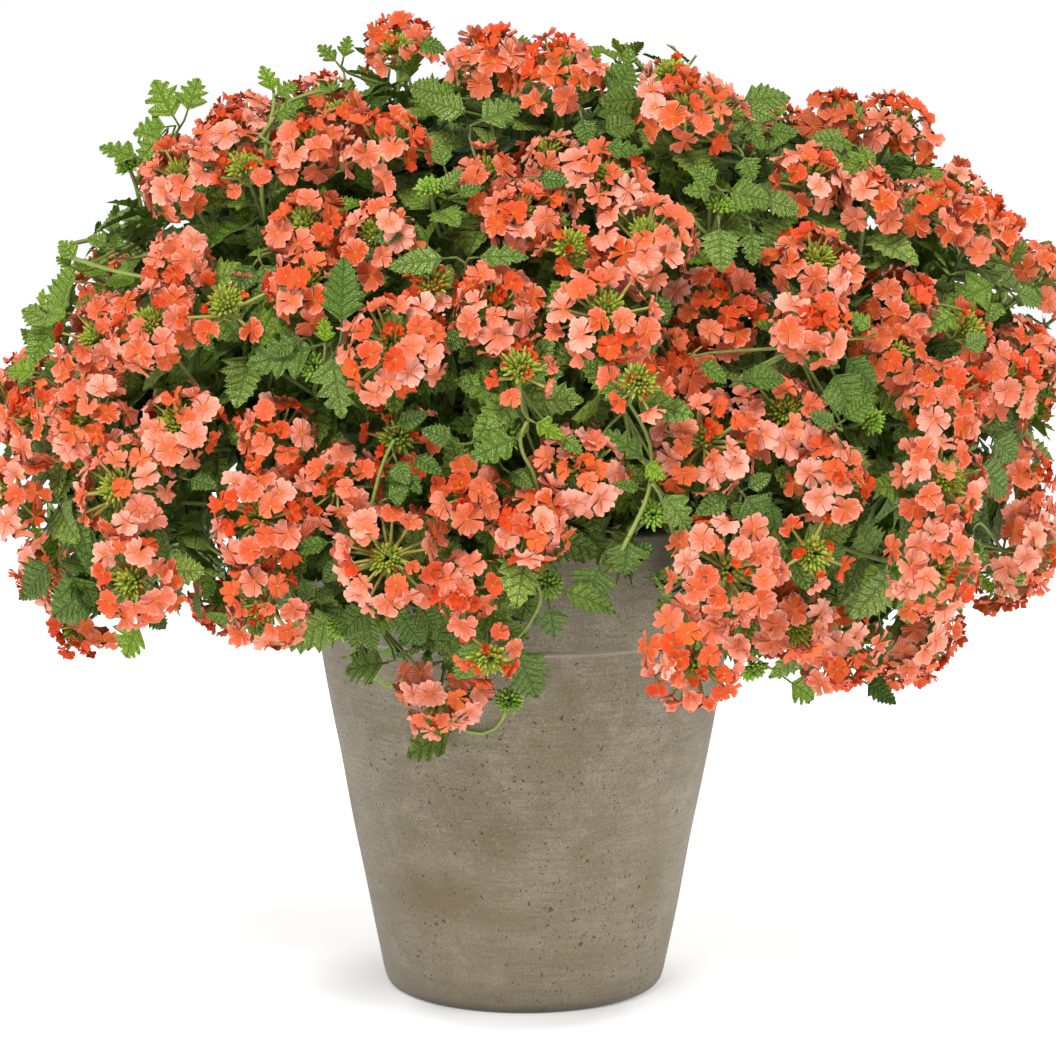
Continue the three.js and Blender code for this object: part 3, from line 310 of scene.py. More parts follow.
# Leaves of the front half: across and up of the foot and of the tip, half width as a share
# of the length, youth, and how far they stand off the mound
FRONT_LEAVES = [
    (-82, 196, -109, 192, 0.44, 0.25, 14), (-42, 155, -72, 140, 0.38, 0.45, 16),
    (-6, 209, 7, 172, 0.31, 0.15, 14), (4, 238, -28, 236, 0.26, 0.20, 16),
    (20, 241, 56, 231, 0.24, 0.30, 18), (46, 257, 37, 234, 0.52, 0.10, 6),
    (15, 232, 19, 211, 0.36, 0.10, 8), (-19, 173, -38, 182, 0.34, 0.20, 12),
    (-92, 231, -112, 213, 0.36, 0.10, 4), (-103, 217, -116, 228, 0.36, 0.10, 2),
    (-94, 224, -92, 203, 0.26, 0.30, 8), (-75, 226, -62, 205, 0.32, 0.20, 8),
    (-66, 234, -52, 217, 0.34, 0.10, 6), (-274, 252, -262, 227, 0.34, 0.40, 0),
    (-237, 251, -269, 264, 0.30, 0.15, 0), (-239, 249, -248, 222, 0.30, 0.10, -4),
    (-232, 222, -242, 200, 0.40, 0.90, 0), (-230, 232, -217, 217, 0.34, 0.10, -4),
    (-260, 252, -278, 261, 0.34, 0.15, -6), (-109, 398, -109, 441, 0.27, 0.20, 21),
    (-44, 441, -80, 438, 0.24, 0.20, 14), (-30, 441, 1, 444, 0.22, 0.25, 14),
    (-115, 386, -111, 347, 0.30, 0.10, 6), (-3, 334, -31, 321, 0.34, 0.35, 12),
    (5, 343, 23, 333, 0.32, 0.80, 12), (74, 319, 50, 337, 0.26, 0.30, 12),
    (72, 318, 84, 309, 0.40, 0.90, 16), (82, 301, 103, 276, 0.26, 0.35, 14),
    (63, 273, 60, 249, 0.46, 0.15, 8), (71, 302, 55, 305, 0.24, 0.30, 8),
    (58, 259, 77, 266, 0.34, 0.15, 4), (116, 461, 118, 435, 0.42, 0.15, 12),
    (119, 481, 146, 476, 0.36, 0.25, 14), (115, 483, 100, 496, 0.36, 0.30, 12),
    (113, 480, 96, 481, 0.34, 0.30, 10), (142, 476, 164, 470, 0.34, 0.10, 4),
    (127, 534, 157, 538, 0.26, 0.15, 0), (125, 535, 106, 539, 0.30, 0.20, 0),
    (122, 529, 131, 523, 0.34, 0.50, 2), (131, 531, 149, 524, 0.28, 0.20, 0),
    (143, 516, 162, 516, 0.28, 0.25, 0), (202, 521, 185, 534, 0.34, 0.15, 4),
    (194, 508, 172, 513, 0.34, 0.15, 4), (202, 505, 206, 493, 0.40, 0.60, 4),
    (-206, 522, -220, 546, 0.36, 0.60, -6), (-200, 526, -192, 548, 0.36, 0.55, -6),
    (-210, 519, -232, 515, 0.36, 0.50, -6), (-213, 516, -229, 500, 0.36, 0.45, -6),
    (-228, 500, -252, 507, 0.28, 0.45, -8), (-247, 448, -260, 454, 0.34, 0.30, 0),
    (-148, 538, -154, 555, 0.30, 0.80, 0), (-148, 536, -134, 545, 0.30, 0.45, 0),
    (-149, 525, -134, 532, 0.34, 0.40, -2), (-266, 440, -276, 452, 0.34, 0.50, 2),
    (-244, 445, -241, 456, 0.34, 0.30, 0), (-269, 435, -278, 442, 0.34, 0.40, -4),
    (-290, 372, -310, 376, 0.36, 0.70, 0), (-293, 369, -304, 360, 0.36, 0.50, -4),
    (-266, 243, -259, 230, 0.34, 0.20, 4), (-290, 243, -304, 235, 0.34, 0.20, 0),
    (-160, 438, -173, 421, 0.34, 0.10, 4), (-157, 439, -149, 420, 0.34, 0.10, 4),
    (-134, 392, -152, 384, 0.30, 0.10, 6), (-119, 389, -119, 405, 0.34, 0.90, 12),
    (-91, 451, -74, 456, 0.26, 0.10, 4), (-50, 481, -37, 493, 0.30, 0.20, 4),
    (-41, 478, -26, 484, 0.30, 0.20, 4), (46, 549, 59, 556, 0.30, 0.50, 0),
    (40, 558, 46, 567, 0.32, 0.70, 0), (-107, 558, -103, 572, 0.30, 0.50, -4),
    (-110, 556, -121, 567, 0.30, 0.40, -4), (70, 368, 59, 355, 0.34, 0.10, 0),
    (79, 401, 76, 384, 0.34, 0.10, 0), (127, 365, 148, 372, 0.30, 0.10, 2),
    (191, 343, 209, 357, 0.30, 0.35, 8), (188, 339, 173, 348, 0.30, 0.20, 8),
    (208, 398, 196, 408, 0.34, 0.60, 8), (265, 268, 280, 259, 0.34, 0.40, 4),
    (262, 386, 277, 395, 0.34, 0.20, 0), (292, 421, 310, 415, 0.30, 0.30, 0),
    (286, 415, 277, 402, 0.30, 0.30, 0), (304, 451, 317, 438, 0.30, 0.20, -4),
    (160, 185, 176, 173, 0.40, 0.80, 0), (211, 190, 216, 176, 0.36, 0.30, 0),
    (128, 217, 119, 205, 0.36, 0.70, 10), (131, 210, 139, 219, 0.36, 0.80, 10),
    (148, 295, 151, 277, 0.34, 0.10, 6), (145, 297, 133, 283, 0.34, 0.10, 6),
    (106, 310, 120, 318, 0.30, 0.15, 4), (-110, 259, -121, 246, 0.34, 0.10, 2),
    (-178, 259, -164, 251, 0.34, 0.10, 2), (-134, 249, -130, 234, 0.34, 0.10, 2),
    (-128, 234, -116, 240, 0.34, 0.10, 2), (-197, 398, -187, 386, 0.34, 0.10, 2),
    (-68, 322, -50, 313, 0.30, 0.10, 2), (-72, 313, -62, 300, 0.34, 0.10, 0),
    (-77, 340, -59, 347, 0.30, 0.10, 4), (-32, 398, -47, 386, 0.32, 0.10, 2),
    (13, 418, 22, 405, 0.34, 0.10, 2), (16, 313, 31, 304, 0.32, 0.15, 2),
    (22, 334, 34, 324, 0.34, 0.40, 8), (-10, 313, 5, 304, 0.30, 0.15, 2),
    (46, 331, 41, 316, 0.34, 0.10, 0),
    (-122, 389, -164, 376, 0.32, 0.10, 4), (-115, 270, -140, 266, 0.22, 0.20, 4),
    (-284, 259, -304, 236, 0.34, 0.20, 0), (-276, 251, -254, 228, 0.34, 0.12, 0),
    (-238, 248, -248, 221, 0.26, 0.15, 0), (-202, 308, -186, 304, 0.34, 0.20, 4),
    (-254, 322, -232, 333, 0.26, 0.10, 2), (-46, 537, -68, 543, 0.36, 0.15, 0),
    (-28, 521, -2, 532, 0.34, 0.15, 2), (50, 535, 65, 556, 0.38, 0.15, 0),
    (70, 536, 46, 533, 0.34, 0.25, 2), (34, 525, 38, 508, 0.36, 0.10, 2),
    (46, 515, 66, 523, 0.38, 0.10, 2), (-32, 527, -58, 534, 0.30, 0.12, 0),
    (-64, 568, -47, 565, 0.30, 0.20, -2), (-5, 570, 4, 568, 0.34, 0.40, -2),
    (62, 553, 62, 566, 0.34, 0.30, -2), (-47, 494, -52, 509, 0.36, 0.15, 4),
    (7, 488, 26, 487, 0.34, 0.10, 6), (46, 507, 70, 505, 0.24, 0.15, 6),
    (79, 420, 84, 402, 0.38, 0.12, 4), (135, 458, 137, 438, 0.34, 0.10, 6),
    (130, 502, 136, 488, 0.46, 0.20, 4), (131, 525, 140, 508, 0.32, 0.15, 0),
    (205, 503, 191, 489, 0.42, 0.50, 2), (289, 435, 298, 452, 0.28, 0.45, 6),
    (283, 427, 252, 412, 0.28, 0.42, 0), (307, 427, 295, 413, 0.38, 0.50, 0),
    (259, 408, 242, 399, 0.38, 0.45, 0), (131, 368, 156, 371, 0.34, 0.20, 6),
    (184, 374, 199, 347, 0.44, 0.20, 6), (191, 383, 211, 363, 0.30, 0.15, 4),
    (103, 379, 122, 368, 0.30, 0.30, 6), (191, 329, 203, 310, 0.42, 0.20, 4),
    (131, 300, 149, 276, 0.40, 0.12, 8), (130, 296, 128, 282, 0.36, 0.20, 6),
    (124, 298, 104, 288, 0.30, 0.10, 4), (133, 302, 148, 310, 0.34, 0.15, 4),
    (181, 268, 193, 255, 0.38, 0.20, 2), (109, 224, 136, 201, 0.34, 0.15, 4),
    (271, 317, 292, 300, 0.44, 0.20, 0), (280, 334, 296, 319, 0.40, 0.20, 0),
    (266, 310, 271, 280, 0.28, 0.12, 0), (270, 277, 260, 257, 0.44, 0.70, 0),
    (219, 202, 202, 189, 0.44, 0.15, 0), (206, 184, 225, 173, 0.30, 0.20, 0),
    (215, 219, 219, 203, 0.30, 0.20, 2), (-41, 330, -60, 339, 0.34, 0.10, 4),
    (-77, 320, -71, 305, 0.42, 0.15, 4), (-83, 296, -70, 302, 0.38, 0.10, 2),
]

FRONT_LEAF_SLOPE = 0.4
FRONT_LEAF_OFF_POT = 4
FRONT_STEM_OFF_POT = 3
LOBED_SHARE = 0.2
LOBED_YOUTH = 0.4

# How much painted shade the front's old leaves get at two heights on the setting-out plane
FRONT_LEAF_HEIGHTS = (250, 500)
FRONT_LEAF_PAINTED_SHADE = (0.82, 0.42)

# Stems that show in front of the leaves: across and up, how far the first and the last
# point stand off the mound, and whether they end in a cluster of buds
FRONT_STEMS = [
    ([(-50, 168), (-41, 156), (-33, 153), (-24, 152), (-16, 156), (-12, 163), (-9, 173)],
     (-4, 15), True),
    ([(-14, 270), (-1, 257), (7, 246), (11, 238), (9, 230), (3, 219), (-6, 209)], (-4, 14), False),
    ([(63, 273), (68, 283), (73, 294), (76, 305), (77, 320), (74, 336), (62, 355)], (8, -2), False),
    ([(94, 264), (90, 275), (85, 290), (81, 301), (76, 306)], (-10, 12), False),
    ([(9, 300), (5, 314), (-1, 323), (-3, 334), (2, 343)], (-8, 12), False),
    ([(-93, 282), (-91, 296), (-85, 318), (-78, 332)], (-8, -2), False),
    ([(-154, 500), (-151, 520), (-148, 530), (-148, 540)], (-10, 0), False),
    ([(-151, 520), (-141, 534), (-120, 540)], (-2, -8), False),
    ([(-266, 440), (-245, 433), (-218, 428)], (2, -10), False),
]

TWIG_POINTS = 7

# Leafy sprigs that fill the mound between the heads. A sprig's pairs of leaves have a distance
# down from its tip, a length and a youth.
SPRIG_SEED = 611
SPRIG_TRIES = 9000
SPRIGS = 300
SPRIG_SPACING = 23
SPRIG_HEIGHTS = (186, 588)
SPRIG_DEPTHS = (0.74, 0.97)
SPRIG_FINE_DEPTH = 0.86
SPRIG_REACHES = (8, 150)
SPRIG_BEND = 28.0
SPRIG_SWING = 0.28
SPRIG_CLEAR = SimpleNamespace(heads=3, pot=7, stem=2.5)
SPRIG_PAIRS = [(1.5, 13, 0.95), (7, 24, 0.6), (18, 34, 0.25), (32, 40, 0.08)]
STALK_PAIRS = 4
INNER_LEAVES = 1400

# The lower outline of the foliage on the setting-out plane, with the gap that shows the
# pot's rim, how far leaves may pass the outlines and the box, and how clear of the heads, the
# pot and the sides of their slice they keep
SKIRT = [
    (-345, 240), (-290, 235), (-262, 205), (-242, 198), (-209, 222), (-170, 208),
    (-143, 198), (-107, 186), (-86, 182), (-70, 150), (-40, 150), (-24, 172), (8, 172),
    (13, 250), (53, 250), (57, 190), (100, 184), (130, 198), (166, 176), (202, 176),
    (244, 184), (280, 205), (345, 235),
]
LEAF_PAST_TOP = 7
LEAF_PAST_SKIRT = 4
LEAF_PAST_BOX = 6
FINE_CLEAR = SimpleNamespace(heads=1.0, pot=2.0, sides=-14)

# The pot: the profile of its raised line, as height off the line and how proud it stands, and
# brown stains, as the middle, half the breadth, half the height and the strength
POT_SIDES = 192
DRAIN_SIDES = 16
LINE_PROFILE = [(-2.2, 0.0), (-1.2, 0.25), (-0.4, 0.7), (0.4, 0.7), (1.2, 0.25), (2.2, 0.0)]
POT_STAINS = [
    ((-50, -80, 70), 38, 17, 0.85), ((-14, -102, 109), 16, 14, 0.60),
    ((76, -66, 77), 12, 24, 0.55), ((-5, -95, 59), 24, 7, 0.50), ((34, -84, 34), 40, 9, 0.40),
    ((-104, -20, 118), 10, 32, 0.50), ((30, 95, 70), 30, 20, 0.60), ((-70, 66, 100), 20, 26, 0.50),
    ((96, 24, 90), 24, 18, 0.50),
]

SOIL_SIDES = 96
SOIL_GAP = 0.5
CRUMBS = 500
CRUMB_R = (0.8, 2.6)

# The camera: its place, how far it looks down and aside, and its breadth of view, from half
# the picture's breadth and the focal length, both in pixels
CAMERA_AT = (0, -2300, 620)
CAMERA_DOWN = math.radians(8.45)
CAMERA_ASIDE = 0.00104
CAMERA_FOV = 2 * math.atan(528 / 3864)

# Area lights, in metres and watts: where, how wide, how strong, and what they face
LIGHTS = [
    ("key", (-0.8, -2.2, 2.7), 1.0, 88, (0, 0, 0.35)),
    ("right fill", (2.4, -0.5, 0.9), 1.6, 26, (0, 0, 0.2)),
    ("left fill", (-2.4, -0.5, 0.9), 1.6, 5, (0, 0, 0.2)),
]
SKY_STRENGTH = 0.50

# The floor's breadth in metres, its own light far off and at the pot's foot, the middle of
# the shadow there, and how far from it the shadow begins and ends to fade. A closer shadow in
# front of the foot leaves a share of that light.
FLOOR_SIZE = 300
FLOOR_GLOW = 0.62
FOOT_GLOW = 0.28
SHADOW_AT = (-14, -38)
SHADOW_REACH = (64, 158)
FRONT_SHADOW = 0.30
FRONT_SHADOW_AT = (0, -62)
FRONT_SHADOW_REACH = (42, 78)

# ---------------------------------------------------------------------------------- arithmetic


def seeded_draws(seed):
    """The CAD part's generator, so that both grow the same plant."""
    mask = 0xFFFFFFFF
    state = seed & mask

    def draw():
        nonlocal state
        state = (state + 0x6D2B79F5) & mask
        t = state
        t = ((t ^ (t >> 15)) * (t | 1)) & mask
        t ^= (t + (((t ^ (t >> 7)) * (t | 61)) & mask)) & mask
        return ((t ^ (t >> 14)) & mask) / 4294967296

    return draw


def add(a, b):
    return (a[0] + b[0], a[1] + b[1], a[2] + b[2])


def sub(a, b):
    return (a[0] - b[0], a[1] - b[1], a[2] - b[2])


def times(a, k):
    return (a[0] * k, a[1] * k, a[2] * k)


def dot(a, b):
    return a[0] * b[0] + a[1] * b[1] + a[2] * b[2]


def cross(a, b):
    return (a[1] * b[2] - a[2] * b[1], a[2] * b[0] - a[0] * b[2], a[0] * b[1] - a[1] * b[0])


def span(a):
    return math.sqrt(dot(a, a))


def unit(a):
    return times(a, 1 / span(a))


def mix(a, b, t):
    return add(times(a, 1 - t), times(b, t))


def between(limits, t):
    return limits[0] + (limits[1] - limits[0]) * t


def square_to(axis):
    """Two directions square to an axis and to each other."""
    u = unit(cross((0, 0, 1) if abs(axis[2]) < 0.9 else (0, 1, 0), axis))
    return u, cross(axis, u)


def rows_dot(a, b):
    return (a * b).sum(-1, keepdims=True)


def units(a):
    return a / np.maximum(np.linalg.norm(a, axis=-1, keepdims=True), 1e-9)


def squares_to(axes, spin):
    """Two directions square to each axis and to each other, turned by a spin."""
    helps = np.where(np.abs(axes[:, 2:3]) < 0.9, [[0.0, 0.0, 1.0]], [[0.0, 1.0, 0.0]])
    u = units(np.cross(helps, axes))
    v = np.cross(axes, u)
    c, s = np.cos(spin)[:, None], np.sin(spin)[:, None]
    return u * c + v * s, v * c - u * s


# ---------------------------------------------------------------------------- mound and slices


def mound_rise(z):
    """How far a height is above the mound's middle, and the mound's half height there."""
    rise = z - MOUND_MID_Z
    return rise, MOUND_RISE if rise > 0 else MOUND_DROP


def mound_level(p):
    """1 on the mound's surface, less inside it."""
    rise, half = mound_rise(p[2])
    return ((abs(p[0]) / MOUND_HALF_X) ** MOUND_POWER
            + (abs(p[1]) / MOUND_HALF_Y) ** MOUND_POWER
            + (abs(rise) / half) ** MOUND_POWER)


def mound_outward(p):
    """The direction straight out of the mound at a point."""
    rise, half = mound_rise(p[2])

    def slope(value, size):
        return math.copysign(1, value) * (abs(value) / size) ** (MOUND_POWER - 1) / size

    return unit((slope(p[0], MOUND_HALF_X), slope(p[1], MOUND_HALF_Y), slope(rise, half)))


def outlook(p):
    """Which way a head at a point of the mound looks when nothing bends it."""
    return unit(add(times(mound_outward(p), LOOK_OUT), (0, 0, LOOK_UP)))


def on_sight(across, up, y):
    """The point at depth y on the line of sight through a point of the setting-out plane."""
    along = sub((across, 0, up), SIGHT_POINT)
    return add(SIGHT_POINT, times(along, (y - SIGHT_POINT[1]) / along[1]))


def onto_mound(across, up, sunk):
    """Where the line of sight through a point of the setting-out plane meets the mound."""
    lowest, spot = math.inf, None
    for y in range(SIGHT_FROM_Y, SIGHT_TO_Y + 1, SIGHT_STEP):
        p = on_sight(across, up, y)
        level = mound_level(p)
        if level < lowest:
            lowest, spot = level, p
        if level <= 1:
            break
    return sub(spot, times(mound_outward(spot), sunk))


def around_mound(turn, z):
    """The mound's surface at a turn about the axis and a height."""
    rise, half = mound_rise(z)
    left = 1 - (abs(rise) / half) ** MOUND_POWER
    x, y = math.cos(turn), math.sin(turn)
    reach = (abs(x) / MOUND_HALF_X) ** MOUND_POWER + (abs(y) / MOUND_HALF_Y) ** MOUND_POWER
    r = (left / reach) ** (1 / MOUND_POWER)
    return (x * r, y * r, z)


def seen_from_front(points):
    """Across and up on the setting-out plane, for an array of points."""
    share = SIGHT_POINT[1] / (SIGHT_POINT[1] - points[:, 1])
    return points[:, 0] * share, SIGHT_POINT[2] + (points[:, 2] - SIGHT_POINT[2]) * share


def outline_at(across, outline):
    """The height of an outline at a distance across."""
    return np.interp(across, [x for x, _ in outline], [z for _, z in outline])


def below_outline(p, r):
    """True where a head is below the plant's upper outline, as seen from the front."""
    share = SIGHT_POINT[1] / (SIGHT_POINT[1] - p[1])
    across = p[0] * share
    up = SIGHT_POINT[2] + (p[2] - SIGHT_POINT[2]) * share
    for wide in (-OUTLINE_WIDE, 0, OUTLINE_WIDE):
        high = r * share * math.sqrt(1 - wide * wide)
        if up + high > outline_at(across + wide * r * share, OUTLINE):
            return False
    return True


def drawn_in(p, r):
    """A point of the mound, drawn in towards its middle until it is below the outline."""
    share = 1.0
    while share > DRAW_LEAST:
        q = mix((0, 0, MOUND_MID_Z), p, share)
        if below_outline(q, r):
            return q
        share *= DRAW_IN
    return None


def slice_of(p):
    """The number of the slice that a point is in."""
    turn = math.atan2(p[1], p[0]) - SLICE_START + 4 * math.pi
    return math.floor(turn / SLICE_TURN) % SLICES


def slice_sides(index):
    """Inward facing normals of a slice's two upright sides."""
    first = SLICE_START + index * SLICE_TURN
    last = first + SLICE_TURN
    return ((-math.sin(first), math.cos(first), 0), (math.sin(last), -math.cos(last), 0))


def pot_radius(z):
    """The pot's outer radius at a height."""
    low = POT_BASE_R + (POT_MID_R - POT_BASE_R) * z / POT_MID_Z
    middle = POT_MID_R + (POT_LINE_R - POT_MID_R) * (z - POT_MID_Z) / (POT_LINE_Z - POT_MID_Z)
    high = POT_LINE_R + (POT_RIM_R - POT_LINE_R) * (z - POT_LINE_Z) / (POT_HEIGHT - POT_LINE_Z)
    return np.where(z < POT_MID_Z, low, np.where(z < POT_LINE_Z, middle, high))


def inside_slice(points, index, margin):
    """For an array of points: True where it is inside the slice by the margin."""
    sides = np.array(slice_sides(index))
    return (points @ sides.T >= margin).all(1)


def clear_of_pot(points, margin):
    """For an array of points: True where it is above the pot, outside it or over its soil."""
    r = np.hypot(points[:, 0], points[:, 1])
    z = points[:, 2]
    wall = pot_radius(z)
    above = z > POT_HEIGHT + margin
    outside = r > wall + margin
    within = (z > SOIL_TOP + SOIL_BUMP + margin) & (r < wall - POT_WALL - margin)
    return above | outside | within


# ----------------------------------------------------------------------- setting out the plant


def set_out():
    """The heads and shoots: the front's one by one, and the back's by seeded draws."""
    draw = seeded_draws(LAYOUT_SEED)
    heads = []

    def place(at, r, flower):
        heads.append(SimpleNamespace(at=at, home=at, r=r, flower=flower, slice=None, stalk=None))

    for across, up, breadth, sunk in FRONT_HEADS:
        place(onto_mound(across, up, sunk), breadth / 2, True)
    for across, up in FRONT_SHOOTS:
        place(onto_mound(across, up, SHOOT_SUNK), SHOOT_R, False)
    flowers, shoots = len(FRONT_HEADS), len(FRONT_SHOOTS)
    for _ in range(BACK_TRIES):
        turn = 2 * math.pi * draw()
        z = between(BACK_HEIGHTS, draw())
        r = between(BACK_RADII, draw())
        full = flowers == HEADS_IN_ALL
        at = drawn_in(around_mound(turn, z), SHOOT_R if full else r)
        if not at or dot(mound_outward(at), unit(sub(SIGHT_POINT, at))) > BACK_FACING:
            continue
        near = min(span(sub(head.at, at)) for head in heads)
        if near > BACK_SPACING and not full:
            place(at, r, True)
            flowers += 1
        elif near > SHOOT_SPACING and full and shoots < SHOOTS_IN_ALL:
            place(sub(at, times(mound_outward(at), SHOOT_SUNK)), SHOOT_R, False)
            shoots += 1
    for number, head in enumerate(heads):
        head.number = number
        head.spin = draw() * 2 * math.pi
        head.lean = (draw() - 0.5, draw() - 0.5, draw() - 0.5)
    return heads


def join_bunches(heads):
    """Neighbouring flower heads are joined into bunches until few enough bunches are left."""
    bunch = list(range(len(heads)))
    size = [1] * len(heads)

    def find(i):
        return i if bunch[i] == i else find(bunch[i])

    pairs = []
    for i, a in enumerate(heads):
        for j in range(i + 1, len(heads)):
            b = heads[j]
            if a.flower and b.flower:
                pairs.append((span(sub(a.home, b.home)) - a.r - b.r, i, j))
    pairs.sort(key=lambda pair: pair[0])
    left = sum(head.flower for head in heads)
    links = []
    for gap, i, j in pairs:
        if left <= HEAD_NODES:
            break
        a, b = find(i), find(j)
        limit = BUNCH_LIMIT if gap < BUNCH_GAP else LOOSE_LIMIT
        if a == b or size[a] + size[b] > limit:
            continue
        bunch[b] = a
        size[a] += size[b]
        links.append((i, j))
        left -= 1
    for i, head in enumerate(heads):
        head.bunch = find(i) if head.flower else -1 - i
        head.joined = head.flower and size[find(i)] > 1
    return links


def near_pairs(heads, linked):
    """The pairs of heads that a round of settling could move, in order."""
    at = np.array([head.at for head in heads])
    r = np.array([head.r for head in heads])
    apart = np.linalg.norm(at[:, None] - at[None], axis=2)
    close = apart < r[:, None] + r[None] + SETTLE_NEAR
    return [(i, j) for i, j in zip(*np.nonzero(np.triu(close, 1) | linked))]


def settle(heads, links):
    """Linked heads are drawn together until they touch and all others are moved apart."""
    linked = np.zeros((len(heads), len(heads)), bool)
    for i, j in links:
        linked[i, j] = True
    for count in range(SETTLE_ROUNDS):
        for i, j in near_pairs(heads, linked):
            a, b = heads[i], heads[j]
            apart = sub(b.at, a.at)
            gap = span(apart)
            reach = a.r + b.r
            if linked[i, j]:
                move = SETTLE_STEP.touch * (gap - HEAD_TOUCH * reach)
                out = unit(add(outlook(a.at), outlook(b.at)))
                step = times(out, SETTLE_STEP.level * dot(apart, out))
                a.at = add(a.at, step)
                b.at = sub(b.at, step)
            elif a.bunch == b.bunch:
                move = min(0, SETTLE_STEP.bunch * (gap - BUNCH_CLOSE * reach))
            else:
                move = min(0, SETTLE_STEP.others * (gap - reach - HEAD_APART))
            if move != 0:
                step = times(apart, move / gap)
                a.at = add(a.at, step)
                b.at = sub(b.at, step)
        for head in heads:
            if count <= SETTLE_ROUNDS - SETTLE_LAST:
                head.at = mix(head.at, head.home, HOME_PULL)
            keep_placed(head)
    for i, a in enumerate(heads):
        for b in heads[i + 1:]:
            if a.bunch == b.bunch:
                continue
            room = span(sub(b.at, a.at)) - 1
            if a.r + b.r > room:
                k = room / (a.r + b.r)
                a.r *= k
                b.r *= k


def keep_placed(head):
    """Keeps a head off the sides of its slice, the pot's axis and the pot."""
    r = math.hypot(head.at[0], head.at[1])
    low = head.at[2] < POT_HEIGHT + HEAD_OFF_RIM
    least = POT_RIM_R + head.r + HEAD_OFF_POT if low else HEAD_OFF_AXIS
    if r < least:
        k = SETTLE_STEP.pot * (least - r) / r
        head.at = add(head.at, (head.at[0] * k, head.at[1] * k, 0))
    if head.slice is None:
        head.slice = slice_of(head.at)
    for side in slice_sides(head.slice):
        depth = dot(head.at, side)
        if depth < SLICE_MARGIN:
            head.at = add(head.at, times(side, SLICE_MARGIN - depth))


def head_rows(heads):
    """What the tests of many points against all heads need, as arrays."""
    return SimpleNamespace(
        at=np.array([head.at for head in heads]),
        axis=np.array([head.axis for head in heads]),
        r=np.array([head.r for head in heads]),
        flower=np.array([head.flower for head in heads]),
    )


def clear_of_heads(points, rows, own, margin):
    """For an array of points: True where it is in no head other than its own."""
    d = points[:, None] - rows.at[None]
    far = np.sqrt((d * d).sum(2))
    h = (d * rows.axis[None]).sum(2)
    out = np.sqrt(np.maximum(0, far * far - h * h))
    s = rows.r / HEAD_FULL_R
    rise = (HEAD_UNDER + HEAD_RIM_Z) * s * out / rows.r
    under = np.where(rows.flower, rise - HEAD_UNDER * s, -HEAD_UNDER) - margin
    inside = ((far <= rows.r + margin + HEAD_RIM_Z) & (out <= rows.r + margin)
              & (h > under) & (h < (HEAD_THROAT[1] + HEAD_RIM_Z) * s + margin))
    if own is not None:
        inside[:, own] = False
    return ~inside.any(1)


def line_is_clear(start, end, rows, own, index):
    """True where a line keeps inside its slice, and clear of the pot and the heads."""
    steps = math.ceil(span(sub(end, start)) / PROBE_STEP)
    shares = (np.arange(steps + 1) / max(1, steps))[:, None]
    points = np.array(start) * (1 - shares) + np.array(end) * shares
    return bool(inside_slice(points, index, STALK_CLEAR.sides).all()
                and clear_of_pot(points, STALK_CLEAR.pot).all()
                and clear_of_heads(points, rows, own, STALK_CLEAR.heads).all())


def limb_line(index, limb):
    """The middle line of one of a slice's limbs."""
    turn = SLICE_START + (index + 0.5) * SLICE_TURN
    return [(r * math.cos(turn), r * math.sin(turn), z) for r, z in LIMBS[limb]]


def limb_lengths(index):
    """The limbs of a slice as separate straight lengths: from, to, and if they bear stalks."""
    lengths = []
    for limb in range(len(LIMBS)):
        line = limb_line(index, limb)
        for start, end in zip(line, line[1:]):
            lengths.append((start, end, end[2] > SOIL_TOP + BARE_STEM))
    return lengths


def stalk_lengths(line):
    """The straight lengths of a stalk. Others can branch from the first."""
    return [(line[i], line[i + 1], i == 0) for i in range(len(line) - 1)]


def far_from_lengths(points, lengths):
    """The distance from each point to the nearest of the lengths."""
    start = np.array([length[0] for length in lengths])
    run = np.array([length[1] for length in lengths]) - start
    away = points[:, None] - start[None]
    t = np.clip((away * run[None]).sum(2) / (run * run).sum(1), 0, 1)
    return np.linalg.norm(away - run[None] * t[:, :, None], axis=2).min(1)


def keeps_off(start, end, lengths, least):
    """True where a new line branches off cleanly and then keeps off the other lines."""
    long = span(sub(end, start))
    runs = np.arange(2 * PROBE_STEP, long, PROBE_STEP)
    if not len(runs):
        return True
    shares = (runs / long)[:, None]
    points = np.array(start) * (1 - shares) + np.array(end) * shares
    return bool((far_from_lengths(points, lengths) >= least).all())


def branch_points(lengths):
    """Where a new stalk can start."""
    return [mix(start, end, t) for start, end, bears in lengths if bears for t in BRANCH_SHARES]


def choose_axis(head):
    """Leans a head a little by chance, but not so far that its stalk leaves the slice."""
    calm = outlook(head.at)
    axis = unit(add(calm, times(head.lean, BUNCH_LEAN if head.joined else HEAD_LEAN)))
    room = 2 * LIMB_THICK / math.sqrt(2)
    for _ in range(4):
        inward = np.array([sub(head.at, times(axis, STALK_STRAIGHT[0]))])
        if inside_slice(inward, head.slice, room)[0]:
            break
        axis = unit(mix(axis, calm, 0.5))
    head.axis = axis
    head.u, head.v = square_to(axis)


def neck_depth(head):
    """How far below its head a stalk turns onto the head's axis."""
    return HEAD_UNDER * head.r / HEAD_FULL_R + NECK_GAP if head.flower else SHOOT_NECK


